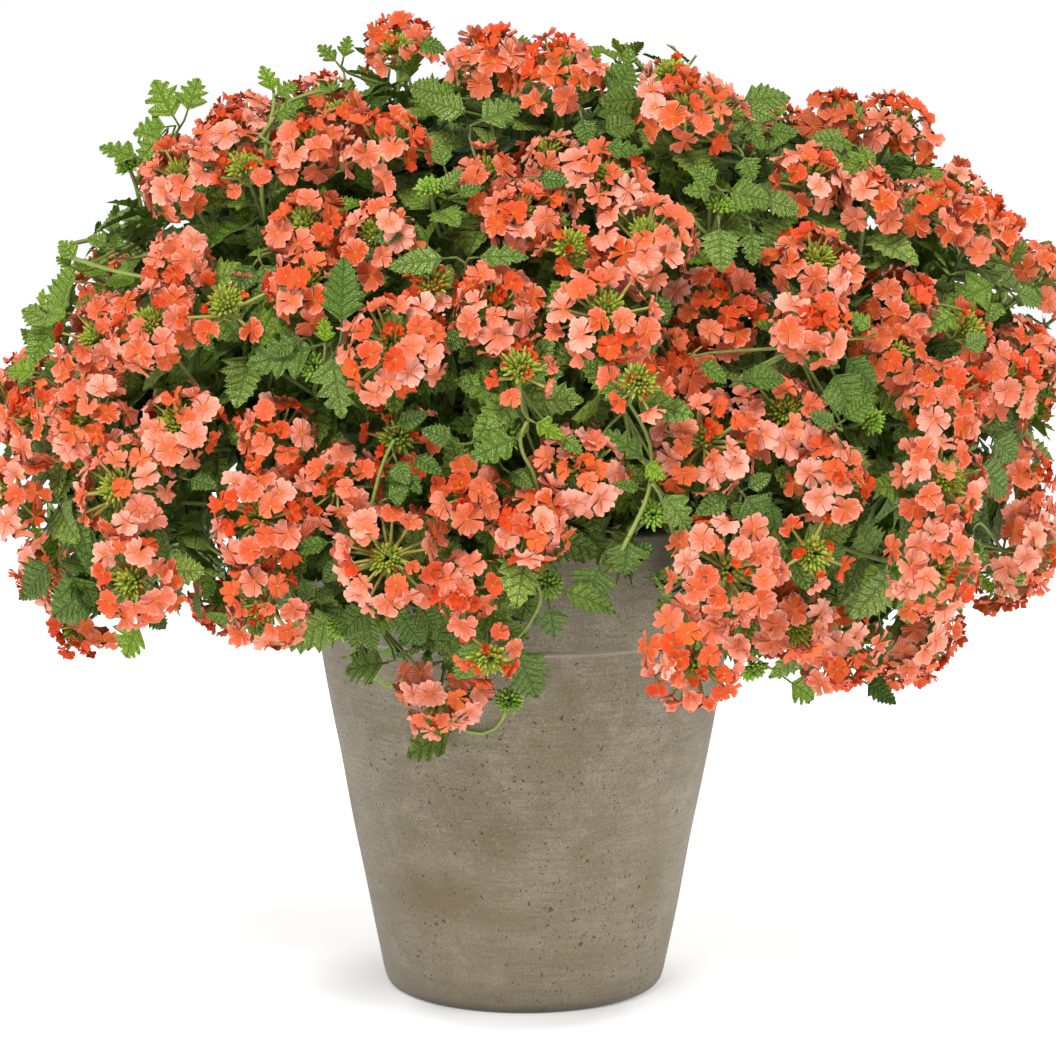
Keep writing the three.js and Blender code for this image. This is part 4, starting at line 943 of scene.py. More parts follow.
def find_stalk(head, rows, lengths, least):
    """The shortest stalk that is clear, as its points from the limb or stalk it starts on."""
    own = head.number
    neck = sub(head.at, times(head.axis, neck_depth(head)))
    for straight in STALK_STRAIGHT:
        back = sub(head.at, times(head.axis, straight))
        if not line_is_clear(back, neck, rows, own, head.slice):
            continue
        if far_from_lengths(np.array([back]), lengths)[0] < least:
            continue
        if not keeps_off(back, neck, lengths, least):
            continue
        starts = sorted(branch_points(lengths), key=lambda p: span(sub(p, back)))
        for start in starts:
            facing = dot(unit(sub(back, start)), head.axis)
            if facing < STALK_BACK:
                continue
            line = [start, neck] if facing > STALK_TURN else [start, back, neck]
            if (keeps_off(start, line[1], lengths, least)
                    and line_is_clear(start, line[1], rows, own, head.slice)):
                return line
    return None


def grow_stalks(heads):
    """Chooses which way each head faces, and grows its stalk from a limb or another stalk."""
    for head in heads:
        choose_axis(head)
    rows = head_rows(heads)
    for index in range(SLICES):
        lengths = limb_lengths(index)
        bearing = [length for length in lengths if length[2]]
        own = [head for head in heads if head.slice == index]
        own.sort(key=lambda head: far_from_lengths(np.array([head.at]), bearing)[0])
        for head in own:
            for gap in STALK_GAPS:
                head.stalk = head.stalk or find_stalk(head, rows, lengths, gap)
            if head.stalk:
                lengths.extend(stalk_lengths(head.stalk))
    return rows


def lengths_of_slices(heads):
    """The straight lengths of the limbs and the stalks of each slice."""
    lengths = [limb_lengths(index) for index in range(SLICES)]
    for head in heads:
        if head.stalk:
            lengths[head.slice].extend(stalk_lengths(head.stalk))
    return lengths


def grow_leaves(heads, rows, lengths):
    """The leaves of the CAD part, on the straight ends of the stalks."""
    draw = seeded_draws(LEAF_SEED)
    leaves = []
    for _ in range(LEAF_ROUNDS):
        for head in heads:
            if not head.stalk:
                continue
            turn = draw() * 2 * math.pi
            length = between(LEAF_LENGTHS, draw())
            lift = math.radians(between(LEAF_LIFTS[head.flower], draw()))
            down = between(LEAF_DOWNS[head.flower], draw())
            roll = between(LEAF_ROLLS, draw())
            for away in (turn, turn + math.pi):
                if sum(leaf.slice == head.slice for leaf in leaves) >= LEAVES_IN_SLICE:
                    continue
                leaf = shape_leaf(head, away, length, lift, down, roll)
                if leaf_fits(leaf, rows, leaves, head, lengths[head.slice]):
                    leaves.append(leaf)
    return leaves


def shape_leaf(head, turn, length, lift, down, roll):
    """A leaf on the end of a head's stalk, with the points of its edge."""
    before, neck = head.stalk[-2:]
    foot = mix(neck, before, min(0.6, down / span(sub(before, neck))))
    flat = add(times(head.u, math.cos(turn)), times(head.v, math.sin(turn)))
    along = add(times(flat, math.cos(lift)), times(head.axis, math.sin(lift)))
    upright = sub(times(head.axis, math.cos(lift)), times(flat, math.sin(lift)))
    across = cross(upright, along)
    side = add(times(across, math.cos(roll)), times(upright, math.sin(roll)))
    face = cross(along, side)

    def point(x, y):
        bend = LEAF_FOLD * abs(y) - LEAF_ARCH * x * x / length
        return add(foot, add(times(along, x), add(times(side, y), times(face, bend))))

    half = LEAF_HALF * length
    edge = [point(x * length, k * y * half) for k in (1, -1) for x, y in LEAF_EDGE]
    return SimpleNamespace(slice=head.slice, foot=foot, tip=point(length, 0), edge=edge,
                           along=along, face=face, length=length)


def leaf_fits(leaf, rows, leaves, head, lengths):
    """True where a leaf is clear of the heads, the pot, the stalks and the other leaves."""
    rim = np.array([leaf.tip, *leaf.edge])
    foot = np.array(leaf.foot)
    middle = np.array(mix(leaf.foot, leaf.tip, LEAF_MIDDLE))
    body = np.vstack([rim, middle])
    if not (inside_slice(body, leaf.slice, LEAF_CLEAR.sides).all()
            and clear_of_pot(body, LEAF_CLEAR.pot).all()
            and clear_of_heads(body, rows, None, LEAF_CLEAR.heads).all()):
        return False
    web = np.vstack([foot + (rim - foot) * share for share in (0.35, 0.6, 0.8, 1)])
    if not clear_of_heads(web, rows, head.number, LEAF_CLEAR.heads).all():
        return False
    if (far_from_lengths(web, lengths) < LEAF_CLEAR.stalks).any():
        return False
    return all(span(sub(mix(other.foot, other.tip, LEAF_MIDDLE), tuple(middle))) > LEAF_SPACING
               for other in leaves)


# -------------------------------------------------------------------------------------- meshes


class Shape:
    """Collects the corners and faces of one mesh, with a place and a shade at each corner."""

    def __init__(self, looks):
        self.looks = looks
        self.points = []
        self.places = []
        self.shades = []
        self.faces = []
        self.marks = []
        self.count = 0

    def add(self, points, faces, look, places=0.0, shades=0.0):
        """faces has a row a face. places and shades have a row a corner, or one for all."""
        self.points.append(points.reshape(-1, 3))
        for kept, values in ((self.places, places), (self.shades, shades)):
            kept.append(np.broadcast_to(values, points.shape).reshape(-1, 3))
        self.faces.append(faces + self.count)
        self.marks.append(np.full(len(faces), self.looks.index(look), np.int32))
        self.count += len(self.points[-1])

    def make(self, name, materials):
        """The piece with this mesh, in metres."""
        mesh = bpy.data.meshes.new(name)
        points = np.concatenate(self.points) * MM
        sizes = np.concatenate([np.full(len(f), f.shape[1], np.int32) for f in self.faces])
        corners = np.concatenate([f.ravel() for f in self.faces]).astype(np.int32)
        starts = np.concatenate([[0], np.cumsum(sizes)[:-1]]).astype(np.int32)
        mesh.vertices.add(len(points))
        mesh.vertices.foreach_set("co", points.astype(np.float32).ravel())
        mesh.loops.add(len(corners))
        mesh.loops.foreach_set("vertex_index", corners)
        mesh.polygons.add(len(sizes))
        for what, values in (("loop_start", starts), ("loop_total", sizes),
                             ("material_index", np.concatenate(self.marks)),
                             ("use_smooth", np.ones(len(sizes), bool))):
            mesh.polygons.foreach_set(what, values)
        for what, rows in (("place", self.places), ("shade", self.shades)):
            stored = mesh.attributes.new(what, "FLOAT_VECTOR", "POINT")
            stored.data.foreach_set("vector", np.concatenate(rows).astype(np.float32).ravel())
        for look in self.looks:
            mesh.materials.append(materials[look])
        mesh.validate()
        mesh.update()
        piece = bpy.data.objects.new(name, mesh)
        bpy.context.scene.collection.objects.link(piece)
        return piece


def copied(faces, corners, copies):
    """The faces of one part with that many corners, repeated for a number of copies of it."""
    starts = np.arange(copies) * corners
    return (faces[None] + starts[:, None, None]).reshape(-1, faces.shape[1])


def grid_faces(rows, columns, copies):
    """The quads of a grid of corners, for a number of copies of the grid."""
    row, column = np.meshgrid(np.arange(rows - 1), np.arange(columns - 1), indexing="ij")
    first = (row * columns + column).ravel()
    quads = np.stack([first, first + 1, first + columns + 1, first + columns], 1)
    return copied(quads, rows * columns, copies)


def tube_faces(rings, sides, copies):
    """The quads round a tube of rings."""
    ring, side = np.meshgrid(np.arange(rings - 1), np.arange(sides), indexing="ij")
    ring, side = ring.ravel(), side.ravel()
    after = (side + 1) % sides
    quads = np.stack([ring * sides + side, ring * sides + after,
                      (ring + 1) * sides + after, (ring + 1) * sides + side], 1)
    return copied(quads, rings * sides, copies)


def around(u, v, turns):
    """The directions at these turns from u towards v."""
    return u * np.cos(turns)[..., None] + v * np.sin(turns)[..., None]


def even_turns(count):
    return np.arange(count) * 2 * math.pi / count


def triples(shape, *values):
    """Three values at every corner of a shape, each given once or corner by corner."""
    rows = np.empty(shape)
    for k, value in enumerate(values):
        rows[..., k] = value
    return rows


def add_tubes(shape, lines, radii, sides, look, shades):
    """Round tubes along lines that all have the same number of points.

    lines is (n, k, 3), radii (n, k) or a row for all, and shades (n, 3).
    """
    n, k, _ = lines.shape
    if not n:
        return
    runs = units(np.gradient(lines, axis=1))
    helps, _ = squares_to(units(lines[:, -1] - lines[:, 0]), np.zeros(n))
    u = units(helps[:, None] - runs * rows_dot(runs, helps[:, None]))
    v = np.cross(runs, u)
    flat = around(u[:, :, None], v[:, :, None], even_turns(sides))
    points = lines[:, :, None] + flat * np.broadcast_to(radii, (n, k))[:, :, None, None]
    places = triples(points.shape, np.linspace(0, 1, k)[None, :, None], 0, 0)
    shape.add(points, tube_faces(k, sides, n), look, places, shades[:, None, None])


def rounded(line, count):
    """A bent line with its corners cut twice, as that many points at even distances."""
    points = np.array(line, float)
    for _ in range(2):
        if len(points) < 3:
            break
        low = points[:-1] * 0.75 + points[1:] * 0.25
        high = points[:-1] * 0.25 + points[1:] * 0.75
        inner = np.stack([low, high], 1).reshape(-1, 3)[1:-1]
        points = np.vstack([points[:1], inner, points[-1:]])
    far = np.concatenate([[0], np.cumsum(np.linalg.norm(np.diff(points, axis=0), axis=1))])
    at = np.linspace(0, far[-1], count)
    return np.stack([np.interp(at, far, points[:, i]) for i in range(3)], 1)


# ------------------------------------------------------------------------------------- florets


def add_florets(shape, rng, petal, eyes, facings, radii, cups, ages, tints, bases, shaded):
    """Florets with five notched petals, an eye, and a tube down to the head's stalk."""
    n = len(eyes)
    u, v = squares_to(facings, rng.uniform(0, 2 * math.pi, n))
    each = (n, PETALS)
    turns = np.arange(PETALS) * (2 * math.pi / PETALS) + rng.normal(0, 0.06, each)
    along = around(u[:, None], v[:, None], turns)
    side = around(v[:, None], -u[:, None], turns)
    roll = rng.normal(0, 0.30, each)
    face = np.broadcast_to(facings[:, None], along.shape)
    side, face = around(side, face, roll), around(face, -side, roll)
    size = (radii[:, None] * rng.normal(1, 0.07, each))[..., None, None]
    bend = (cups[:, None] + rng.normal(0, 0.27, each))[..., None, None]
    phase = rng.uniform(0, 2 * math.pi, each)[..., None, None]

    t = petal.rows[:, None] * (1 - (1 - petal.reach[None]) * petal.rows[:, None] ** 3)
    s = np.broadcast_to(petal.columns[None], t.shape)
    half = np.broadcast_to(petal.halves[:, None], t.shape)
    grow = np.broadcast_to(petal.rows[:, None], t.shape)
    lift = bend * (0.30 + 0.55 * grow) + 0.10 * (1 - grow)
    ruffle = sum(high * np.sin(waves * s + turn * phase)
                 for high, waves, turn in PETAL_RUFFLES) * grow ** 2
    fold = 0.05 * s * s * grow - 0.03 * grow
    x, y, z = t * np.cos(lift), s * half, t * np.sin(lift) + ruffle + fold
    points = eyes[:, None, None, None]
    for way, far in ((along, x), (side, y), (face, z)):
        points = points + way[:, :, None, None] * (far * size)[..., None]
    places = triples(points.shape, grow, s, rng.random(each)[..., None, None])
    shades = triples(points.shape, ages[:, None, None, None], tints[:, None, None, None], shaded)
    shape.add(points, grid_faces(*t.shape, n * PETALS), "petals", places, shades)

    own = np.stack([ages, tints, ages * 0], 1)
    proud = facings[:, None] * 0.45
    flat = around(u[:, None], v[:, None], np.arange(EYE_SIDES) * math.pi / 3)
    points = np.concatenate([eyes[:, None] + flat * EYE_R + proud, eyes[:, None] + proud * 0.2], 1)
    fan = np.array([(i, (i + 1) % EYE_SIDES, EYE_SIDES) for i in range(EYE_SIDES)])
    shape.add(points, copied(fan, EYE_SIDES + 1, n), "eyes", shades=own[:, None])

    middle = (eyes * 0.45 + bases * 0.55) - facings * 2.0
    lines = np.stack([bases, middle, eyes - facings * 0.2], 1)
    add_tubes(shape, lines, [TUBE_R * 1.3, TUBE_R * 1.25, TUBE_R], 4, "tubes", own)


def head_surface(r, s):
    """The height of a head's CAD surface at a distance from its axis."""
    return s * (HEAD_THROAT[1] - 0.8 * np.maximum(0, r / s - HEAD_THROAT[0]))


def axes_of(head):
    return (np.array(a) for a in (head.axis, head.u, head.v))


def add_ring(shape, rng, head, count, r, z, tilt, sizes, cup, ages, pale, spread=1.0, shaded=0.0,
             petal=FINE_PETAL):
    """A ring of florets round a head's axis. A few of them are younger than the rest."""
    axis, u, v = axes_of(head)
    turns = head.spin + (np.arange(count) + rng.uniform(-0.18, 0.18, count)) * (
        2 * math.pi / count) * spread + rng.uniform(0, 2 * math.pi)
    flat = around(u, v, turns)
    lean = np.radians(tilt + rng.normal(0, 11, count))
    facings = units(around(axis, flat, lean) + rng.normal(0, 0.18, (count, 3)))
    far = (r + rng.normal(0, 1.2, count))[:, None]
    eyes = np.array(head.at) + flat * far + axis * (z + rng.normal(0, 1.6, count))[:, None]
    radii = rng.uniform(*sizes, count)
    young = rng.random(count) < YOUNG_SHARE
    ages = np.where(young, rng.uniform(0.1, 0.4, count), rng.uniform(*ages, count))
    radii = radii * np.where(young, 0.82, 1)
    tints = np.clip(rng.normal(0.40 + pale, 0.34, count), 0, 1)
    bases = (np.array(head.at) + flat * 2.2
             + axis * rng.uniform(-4, 6, count)[:, None] * head.r / HEAD_FULL_R)
    cups = np.full(count, cup) + rng.normal(0, 0.08, count) + 0.25 * young
    add_florets(shape, rng, petal, eyes, facings, radii, cups, ages, tints, bases, shaded)


def add_head_florets(shape, rng, head):
    """Rings of florets from a head's edge to its middle, or a few half open ones."""
    s = head.r / HEAD_FULL_R
    number = head.number
    pale = rng.normal(0.25 if number in PALE_HEADS else 0.0, 0.11)
    # The florets of a sunk head get painted shade
    sunk = SUNK_PAINTED_SHADE * FRONT_HEADS[number][3] if number < len(FRONT_HEADS) else 0.0
    if number in OPENING_HEADS:
        far = max(8.0, head.r - 6.5)
        count = rng.integers(4, 7)
        add_ring(shape, rng, head, count, far, head_surface(far, s) - 3, 56, YOUNG_R,
                 0.35, (0.2, 0.7), pale)
        add_ring(shape, rng, head, 3, far * 0.5, head_surface(0, s) - 2, 20, (3.5, 5.5),
                 1.0, (0.0, 0.1), pale, petal=PLAIN_PETAL)
        return
    small = 0.86 + 0.14 * min(1.0, head.r / 26)
    sizes = (FLORET_R[0] * small, FLORET_R[1] * small)
    mean = sum(sizes) / 2
    far = head.r - mean * 0.94
    count = max(5, round(2 * math.pi * far / (OUTER_GAP * mean)))
    add_ring(shape, rng, head, count, far, head_surface(far, s) + 1, OUTER_TILT, sizes,
             0.04, (0.62, 1.0), pale, shaded=sunk)
    # The lower ring, under the head's edge, gets painted shade
    low = head.r - LOWER_IN
    count = max(6, round(2 * math.pi * low / (LOWER_GAP * mean)))
    add_ring(shape, rng, head, count, low, head_surface(low, s) - 6.5, LOWER_TILT, sizes,
             0.0, (0.65, 1.0), pale, shaded=LOWER_PAINTED_SHADE + 0.5 * sunk, petal=PLAIN_PETAL)
    inside = far - INNER_IN
    if inside > 2.5:
        green = number in GREEN_HEADS
        count = max(3, round(2 * math.pi * inside / INNER_GAPS[green]))
        add_ring(shape, rng, head, count, inside + 1.5, head_surface(inside, s) + 1.0,
                 INNER_TILT + 6, YOUNG_R, 0.42, (0.15, 0.6), pale, 0.75 if green else 1, sunk)
        if not green:
            add_ring(shape, rng, head, 3, 3.4, head_surface(0, s), 10, (3.6, 5.6), 1.0,
                     (0.0, 0.15), pale, petal=PLAIN_PETAL)


# ---------------------------------------------------------------------------------------- buds


def add_buds(shape, rng, head):
    """The fan of narrow green buds in the middle of a head or on the end of a shoot."""
    s = head.r / HEAD_FULL_R
    axis, u, v = axes_of(head)
    if head.flower:
        opening = head.number in OPENING_HEADS
        rings = BUD_RINGS["green" if opening or head.number in GREEN_HEADS else "open"]
        low, lengths = (9 * s, BUD_LENGTHS["opening"]) if opening else (7 * s, BUD_LENGTHS["head"])
    else:
        rings = BUD_RINGS["shoot"]
        low, lengths = -2, BUD_LENGTHS["shoot"]
    for count, tilt in rings:
        flat = around(u, v, even_turns(count) + rng.uniform(0, 6))
        ways = around(axis, flat, np.radians(tilt + rng.normal(0, 4, count)))
        feet = np.array(head.at) + axis * low + flat * (1.2 + 0.02 * tilt)
        length = rng.uniform(*lengths, count)[:, None]
        lines = np.stack([feet, feet + ways * length * 0.7 + axis * 0.4, feet + ways * length], 1)
        widths = np.tile([BUD_R * 0.6, BUD_R, 0.35], (count, 1)) * rng.uniform(0.8, 1.2, (count, 1))
        red = (rng.random(count) < RED_BUDS) * (tilt > 10) * head.flower
        youth = np.full(count, 0.0 if head.flower else 1.0)
        shades = np.stack([youth, rng.random(count), red.astype(float)], 1)
        add_tubes(shape, lines, widths, 4, "buds", shades)


# -------------------------------------------------------------------------------------- leaves


def blade_template(teeth, columns, reaches):
    """Share along, side, pucker and vein count of the corners of a toothed blade, as a grid.

    Rows slant forwards from the middle to the edge, like the veins. The reaches are how far
    out the edge goes at each row of a tooth, from one notch to the next.
    """
    steps = len(reaches)
    count = steps * teeth + 1
    side = np.linspace(-1, 1, columns)
    edge = np.abs(side)
    rows = [(0 * edge, side * BLADE_HALF[0], 0 * edge, 0 * edge)]
    for k in range(count):
        share = k / (count - 1)
        middle, out = (BLADE_START + (1 - BLADE_START) * share ** power
                       for power in (1, VEIN_SLANT))
        ends = k in (0, count - 1)
        on_vein = 1 - 2 * abs(k / steps % 1 - 0.5)
        reach = 1.0 if ends else reaches[k % steps]
        push = 0.0 if ends else (0.5 * on_vein - 0.1) / (2 * teeth)
        x = middle + (out + push - middle) * edge
        half = np.interp(x[0], BLADE_AT, BLADE_HALF)
        y = side * half * (1 + (reach - 1) * edge ** 2)
        pucker = np.where((edge > 0.2) & (edge < 0.9), 1 - on_vein, 0.0)
        rows.append((np.minimum(x, 1.0), y, pucker, np.full(columns, k / steps)))
    return tuple(np.array([row[i] for row in rows]) for i in range(4))


BLADES = {
    "fine": blade_template(7, 5, (0.76, 1.08)),
    "lobed": blade_template(4, 5, (0.52, 0.92, 1.08, 0.90)),
    "plain": blade_template(5, 3, (0.72, 1.07)),
    "tiny": blade_template(3, 3, (0.74, 1.07)),
}


class Foliage:
    """Leaves waiting to be made into a mesh."""

    def __init__(self):
        self.rows = {kind: [] for kind in BLADES}

    def add(self, kind, foot, along, face, length, half, fold, arch, youth, dark=0.0):
        self.rows[kind].append((*foot, *along, *face, length, half, fold, arch, youth, dark))

    def build(self, shape, rng):
        """Folded, arched and rippled blades, with their teeth a little uneven."""
        for kind, rows in self.rows.items():
            if not rows:
                continue
            data = np.array(rows, float)
            x, y, pucker, vein = (part[None] for part in BLADES[kind])
            n, grid = len(data), x.shape[1:]
            foot = data[:, 0:3]
            along = units(data[:, 3:6])
            face = units(data[:, 6:9] - along * rows_dot(data[:, 6:9], along))
            side = np.cross(face, along)
            length, half, fold, arch, youth, dark = (
                column[:, None, None] for column in data[:, 9:15].T)
            phase = rng.uniform(0, 6.3, (n, 1, 1))
            wobble = rng.normal(0, 0.035, (n, *grid)) * (np.abs(y) > 0.3)
            px = x * length
            py = y * half * length * (1 + wobble * 2)
            ripple = 0.03 * np.sin(phase + 13 * x + 1.5 * np.sign(y)) * np.abs(y)
            swing = 0.05 * np.sin(phase) * x ** 2 * length
            pz = (fold * np.abs(py) - arch * length * x ** 2
                  + length * (0.030 * pucker + ripple))
            points = foot[:, None, None]
            for way, far in ((along, px), (side, py + swing), (face, pz)):
                points = points + way[:, None, None] * far[..., None]
            places = triples(points.shape, vein, np.linspace(-1, 1, grid[1]), x)
            shades = triples(points.shape, youth, rng.random((n, 1, 1)), dark)
            shape.add(points, grid_faces(*grid, n), "leaves", places, shades)


def leaf_samples(foot, along, face, length, half):
    """Points of a leaf to test: along its middle, its tip and its edges."""
    out = units(np.cross(face, along)) * half * length
    waist = foot + along * length * 0.45
    return np.array([*(foot + along * length * share for share in (0.35, 0.7, 1)),
                     waist + out, waist - out])


def leaf_pair(foliage, rng, test, foot, stem, spin, length, lift, youth, kind, dark=0.0):
    """Two opposite leaves on a stem, each only where there is room for it."""
    u, v = squares_to(stem[None], np.array([spin]))
    for sign in (1, -1):
        size = length * rng.uniform(0.86, 1.12)
        rise = math.radians(lift + rng.normal(0, 9))
        flat = u[0] * sign + v[0] * rng.normal(0, 0.14)
        flat = flat / np.linalg.norm(flat)
        along = flat * math.cos(rise) + stem * math.sin(rise)
        face = stem * math.cos(rise) - flat * math.sin(rise)
        face = face + np.cross(along, face) * rng.normal(0, 0.2)
        half = rng.uniform(0.27, 0.36)
        if test(leaf_samples(foot, along, face, size, half)):
            foliage.add(kind, foot, along, face, size, half, rng.uniform(0.10, 0.42),
                        rng.uniform(0.04, 0.30), np.clip(youth + rng.normal(0, 0.08), 0, 1), dark)


def room_test(plant, index):
    """A test that points are in the slice and the box, and clear of the heads and the pot."""
    low, high = plant.box

    def test(points):
        across, up = seen_from_front(points)
        return bool((points > low).all() and (points < high).all()
                    and (up < outline_at(across, OUTLINE) + LEAF_PAST_TOP).all()
                    and (up > outline_at(across, SKIRT) - LEAF_PAST_SKIRT).all()
                    and inside_slice(points, index, FINE_CLEAR.sides).all()
                    and clear_of_pot(points, FINE_CLEAR.pot).all()
                    and clear_of_heads(points, plant.rows, None, FINE_CLEAR.heads).all())

    return test


def nearest_on(lengths, p):
    """The point of the bearing lengths nearest to p."""
    bearing = [length for length in lengths if length[2]]
    start = np.array([length[0] for length in bearing])
    run = np.array([length[1] for length in bearing]) - start
    away = p - start
    t = np.clip((away * run).sum(1) / (run * run).sum(1), 0.05, 0.98)
    spots = start + run * t[:, None]
    far = np.linalg.norm(spots - p, axis=1)
    best = int(far.argmin())
    return spots[best], far[best]


def grow_sprigs(plant):
    """Leafy sprigs between the heads, with opposite leaves and a bright tip."""
    rng, rows = plant.rng, plant.rows
    placed = []
    for _ in range(SPRIG_TRIES):
        if len(placed) >= SPRIGS:
            break
        turn = rng.uniform(0, 2 * math.pi)
        z = rng.uniform(*SPRIG_HEIGHTS)
        depth = rng.uniform(*SPRIG_DEPTHS)
        middle = np.array([0, 0, MOUND_MID_Z])
        p = middle + (np.array(around_mound(turn, z)) - middle) * depth
        if placed and np.linalg.norm(np.array(placed) - p, axis=1).min() < SPRIG_SPACING:
            continue
        index = slice_of(p)
        spot = p[None]
        across, up = seen_from_front(spot)
        if not (clear_of_heads(spot, rows, None, SPRIG_CLEAR.heads)[0]
                and clear_of_pot(spot, SPRIG_CLEAR.pot)[0]
                and outline_at(across, SKIRT)[0] < up[0] < outline_at(across, OUTLINE)[0]):
            continue
        root, far = nearest_on(plant.lengths[index], p)
        if not SPRIG_REACHES[0] <= far <= SPRIG_REACHES[1]:
            continue
        way = units(np.array(outlook(tuple(p))) + rng.normal(0, SPRIG_SWING, 3))
        bend = p - way * min(SPRIG_BEND, far * 0.5)
        path = rounded([root, bend, p], TWIG_POINTS)
        if not (clear_of_pot(path, SPRIG_CLEAR.stem).all()
                and clear_of_heads(path, rows, None, 0).all()):
            continue
        placed.append(p)
        plant.twigs[index].append((path, *SPRIG_RADII, 0.45))
        test = room_test(plant, index)
        spin = rng.uniform(0, math.pi)
        for count, (down, length, youth) in enumerate(SPRIG_PAIRS):
            kind = "tiny" if count == 0 else ("fine" if depth > SPRIG_FINE_DEPTH else "plain")
            lift = 58 if count == 0 else 38 - 9 * count
            # Sprigs deeper in the mound get more painted shade on their leaves
            leaf_pair(plant.foliages[index], rng, test, p - way * down, way,
                      spin + count * math.pi / 2, length * rng.uniform(0.85, 1.1), lift, youth,
                      kind, dark=(SPRIG_DEPTHS[1] - depth) * 2)


def grow_stalk_leaves(plant):
    """Pairs of leaves down the stalks and leaves deep in the mound, with more painted shade lower
    down a stalk and deeper in the mound.
    """
    rng = plant.rng
    for head in plant.heads:
        if not head.stalk:
            continue
        before, neck = (np.array(p) for p in head.stalk[-2:])
        run = np.linalg.norm(neck - before)
        stem = units(neck - before)
        test = room_test(plant, head.slice)
        spin = rng.uniform(0, math.pi)
        downs = np.arange(9 if head.flower else 6, run * 0.92, rng.uniform(13, 18))
        for count, down in enumerate(downs[:STALK_PAIRS]):
            # Each pair further down the stalk gets more painted shade
            leaf_pair(plant.foliages[head.slice], rng, test, neck - stem * down, stem,
                      spin + count * math.pi / 2, rng.uniform(26, 42), 18 - 4 * count,
                      0.25 if count == 0 else 0.05, "fine" if count < 2 else "plain",
                      dark=0.15 * count)
    for _ in range(INNER_LEAVES):
        index = int(rng.integers(SLICES))
        bearing = [length for length in plant.lengths[index] if length[2]]
        start, end, _ = bearing[int(rng.integers(len(bearing)))]
        foot = np.array(mix(start, end, rng.uniform(0.1, 0.95)))
        stem = units(np.array(sub(end, start)))
        test = room_test(plant, index)
        depth = np.interp(mound_level(foot), [0.35, 0.8], [1.0, 0.0])
        # Leaves deeper in the mound get more painted shade
        leaf_pair(plant.foliages[index], rng, test, foot, stem, rng.uniform(0, math.pi),
                  rng.uniform(24, 36) + 12 * depth, 25, 0.15 * (1 - depth), "plain",
                  dark=0.6 * depth)


def in_front_of_pot(across, up, y, margin):
    """A point on a line of sight, moved towards the viewer until it is clear of the pot."""
    p = np.array(on_sight(across, up, y))
    while not clear_of_pot(p[None], margin)[0]:
        y -= 2
        p = np.array(on_sight(across, up, y))
    return p


def grow_front_leaves(plant):
    """The leaves that are set out one by one, each on a thin stem of its own."""
    rng = plant.rng
    for across, up, tip_across, tip_up, half, youth, proud in FRONT_LEAVES:
        flat = math.hypot(tip_across - across, tip_up - up)
        deep = onto_mound(across, up, -proud)[1]
        foot = in_front_of_pot(across, up, deep, FRONT_LEAF_OFF_POT)
        change = onto_mound(tip_across, tip_up, -proud - 4)[1] - foot[1]
        most = FRONT_LEAF_SLOPE * flat
        tip = in_front_of_pot(tip_across, tip_up, foot[1] + max(-most, min(most, change)),
                              FRONT_LEAF_OFF_POT)
        index = slice_of(foot)
        along = tip - foot
        length = np.linalg.norm(along)
        along = along / length
        toward = units(np.array(SIGHT_POINT) - foot)
        face = units(toward + np.array([0, 0, 0.35]) + rng.normal(0, 0.14, 3))
        kind = "lobed" if youth >= LOBED_YOUTH or rng.random() < LOBED_SHARE else "fine"
        # Old front leaves get painted shade, more of it lower down
        dark = (1 - youth) * np.interp(up, FRONT_LEAF_HEIGHTS, FRONT_LEAF_PAINTED_SHADE)
        plant.foliages[index].add(kind, foot, along, face, length * 1.04, half * 1.05,
                                  rng.uniform(0.12, 0.35), rng.uniform(0.04, 0.2), youth, dark)
        root, far = nearest_on(plant.lengths[index], foot)
        bend = foot - along * min(8, far * 0.25) - toward * min(16, far * 0.4)
        path = rounded([root, bend, foot + along * 1.5], TWIG_POINTS)
        plant.twigs[index].append((path, *LEAF_STALK_RADII, 0.35 + 0.5 * youth))


def grow_front_stems(plant):
    """The stems that show in front. Returns the clusters of buds on their ends."""
    clusters = []
    for line, proud, budded in FRONT_STEMS:
        offs = np.linspace(*proud, len(line))
        path = np.array([in_front_of_pot(*at, onto_mound(*at, -off)[1], FRONT_STEM_OFF_POT)
                         for at, off in zip(line, offs)])
        index = slice_of(path[0])
        root, _ = nearest_on(plant.lengths[index], path[0])
        smooth = rounded(path, 2 * TWIG_POINTS - 1)
        parts = (rounded([root, path[0] * 2 - path[1], path[0]], TWIG_POINTS),
                 smooth[:TWIG_POINTS], smooth[TWIG_POINTS - 1:])
        for part, start, end, youth in zip(parts, FRONT_STEM_RADII, FRONT_STEM_RADII[1:],
                                           (0.6, 0.75, 0.75)):
            plant.twigs[index].append((part, start, end, youth))
        if budded:
            axis = tuple(units(path[-1] - path[-2]))
            u, v = square_to(axis)
            clusters.append(SimpleNamespace(at=tuple(path[-1]), axis=axis, u=u, v=v, r=SHOOT_R,
                                            flower=False, slice=index))
    return clusters


# --------------------------------------------------------------------------------------- stems


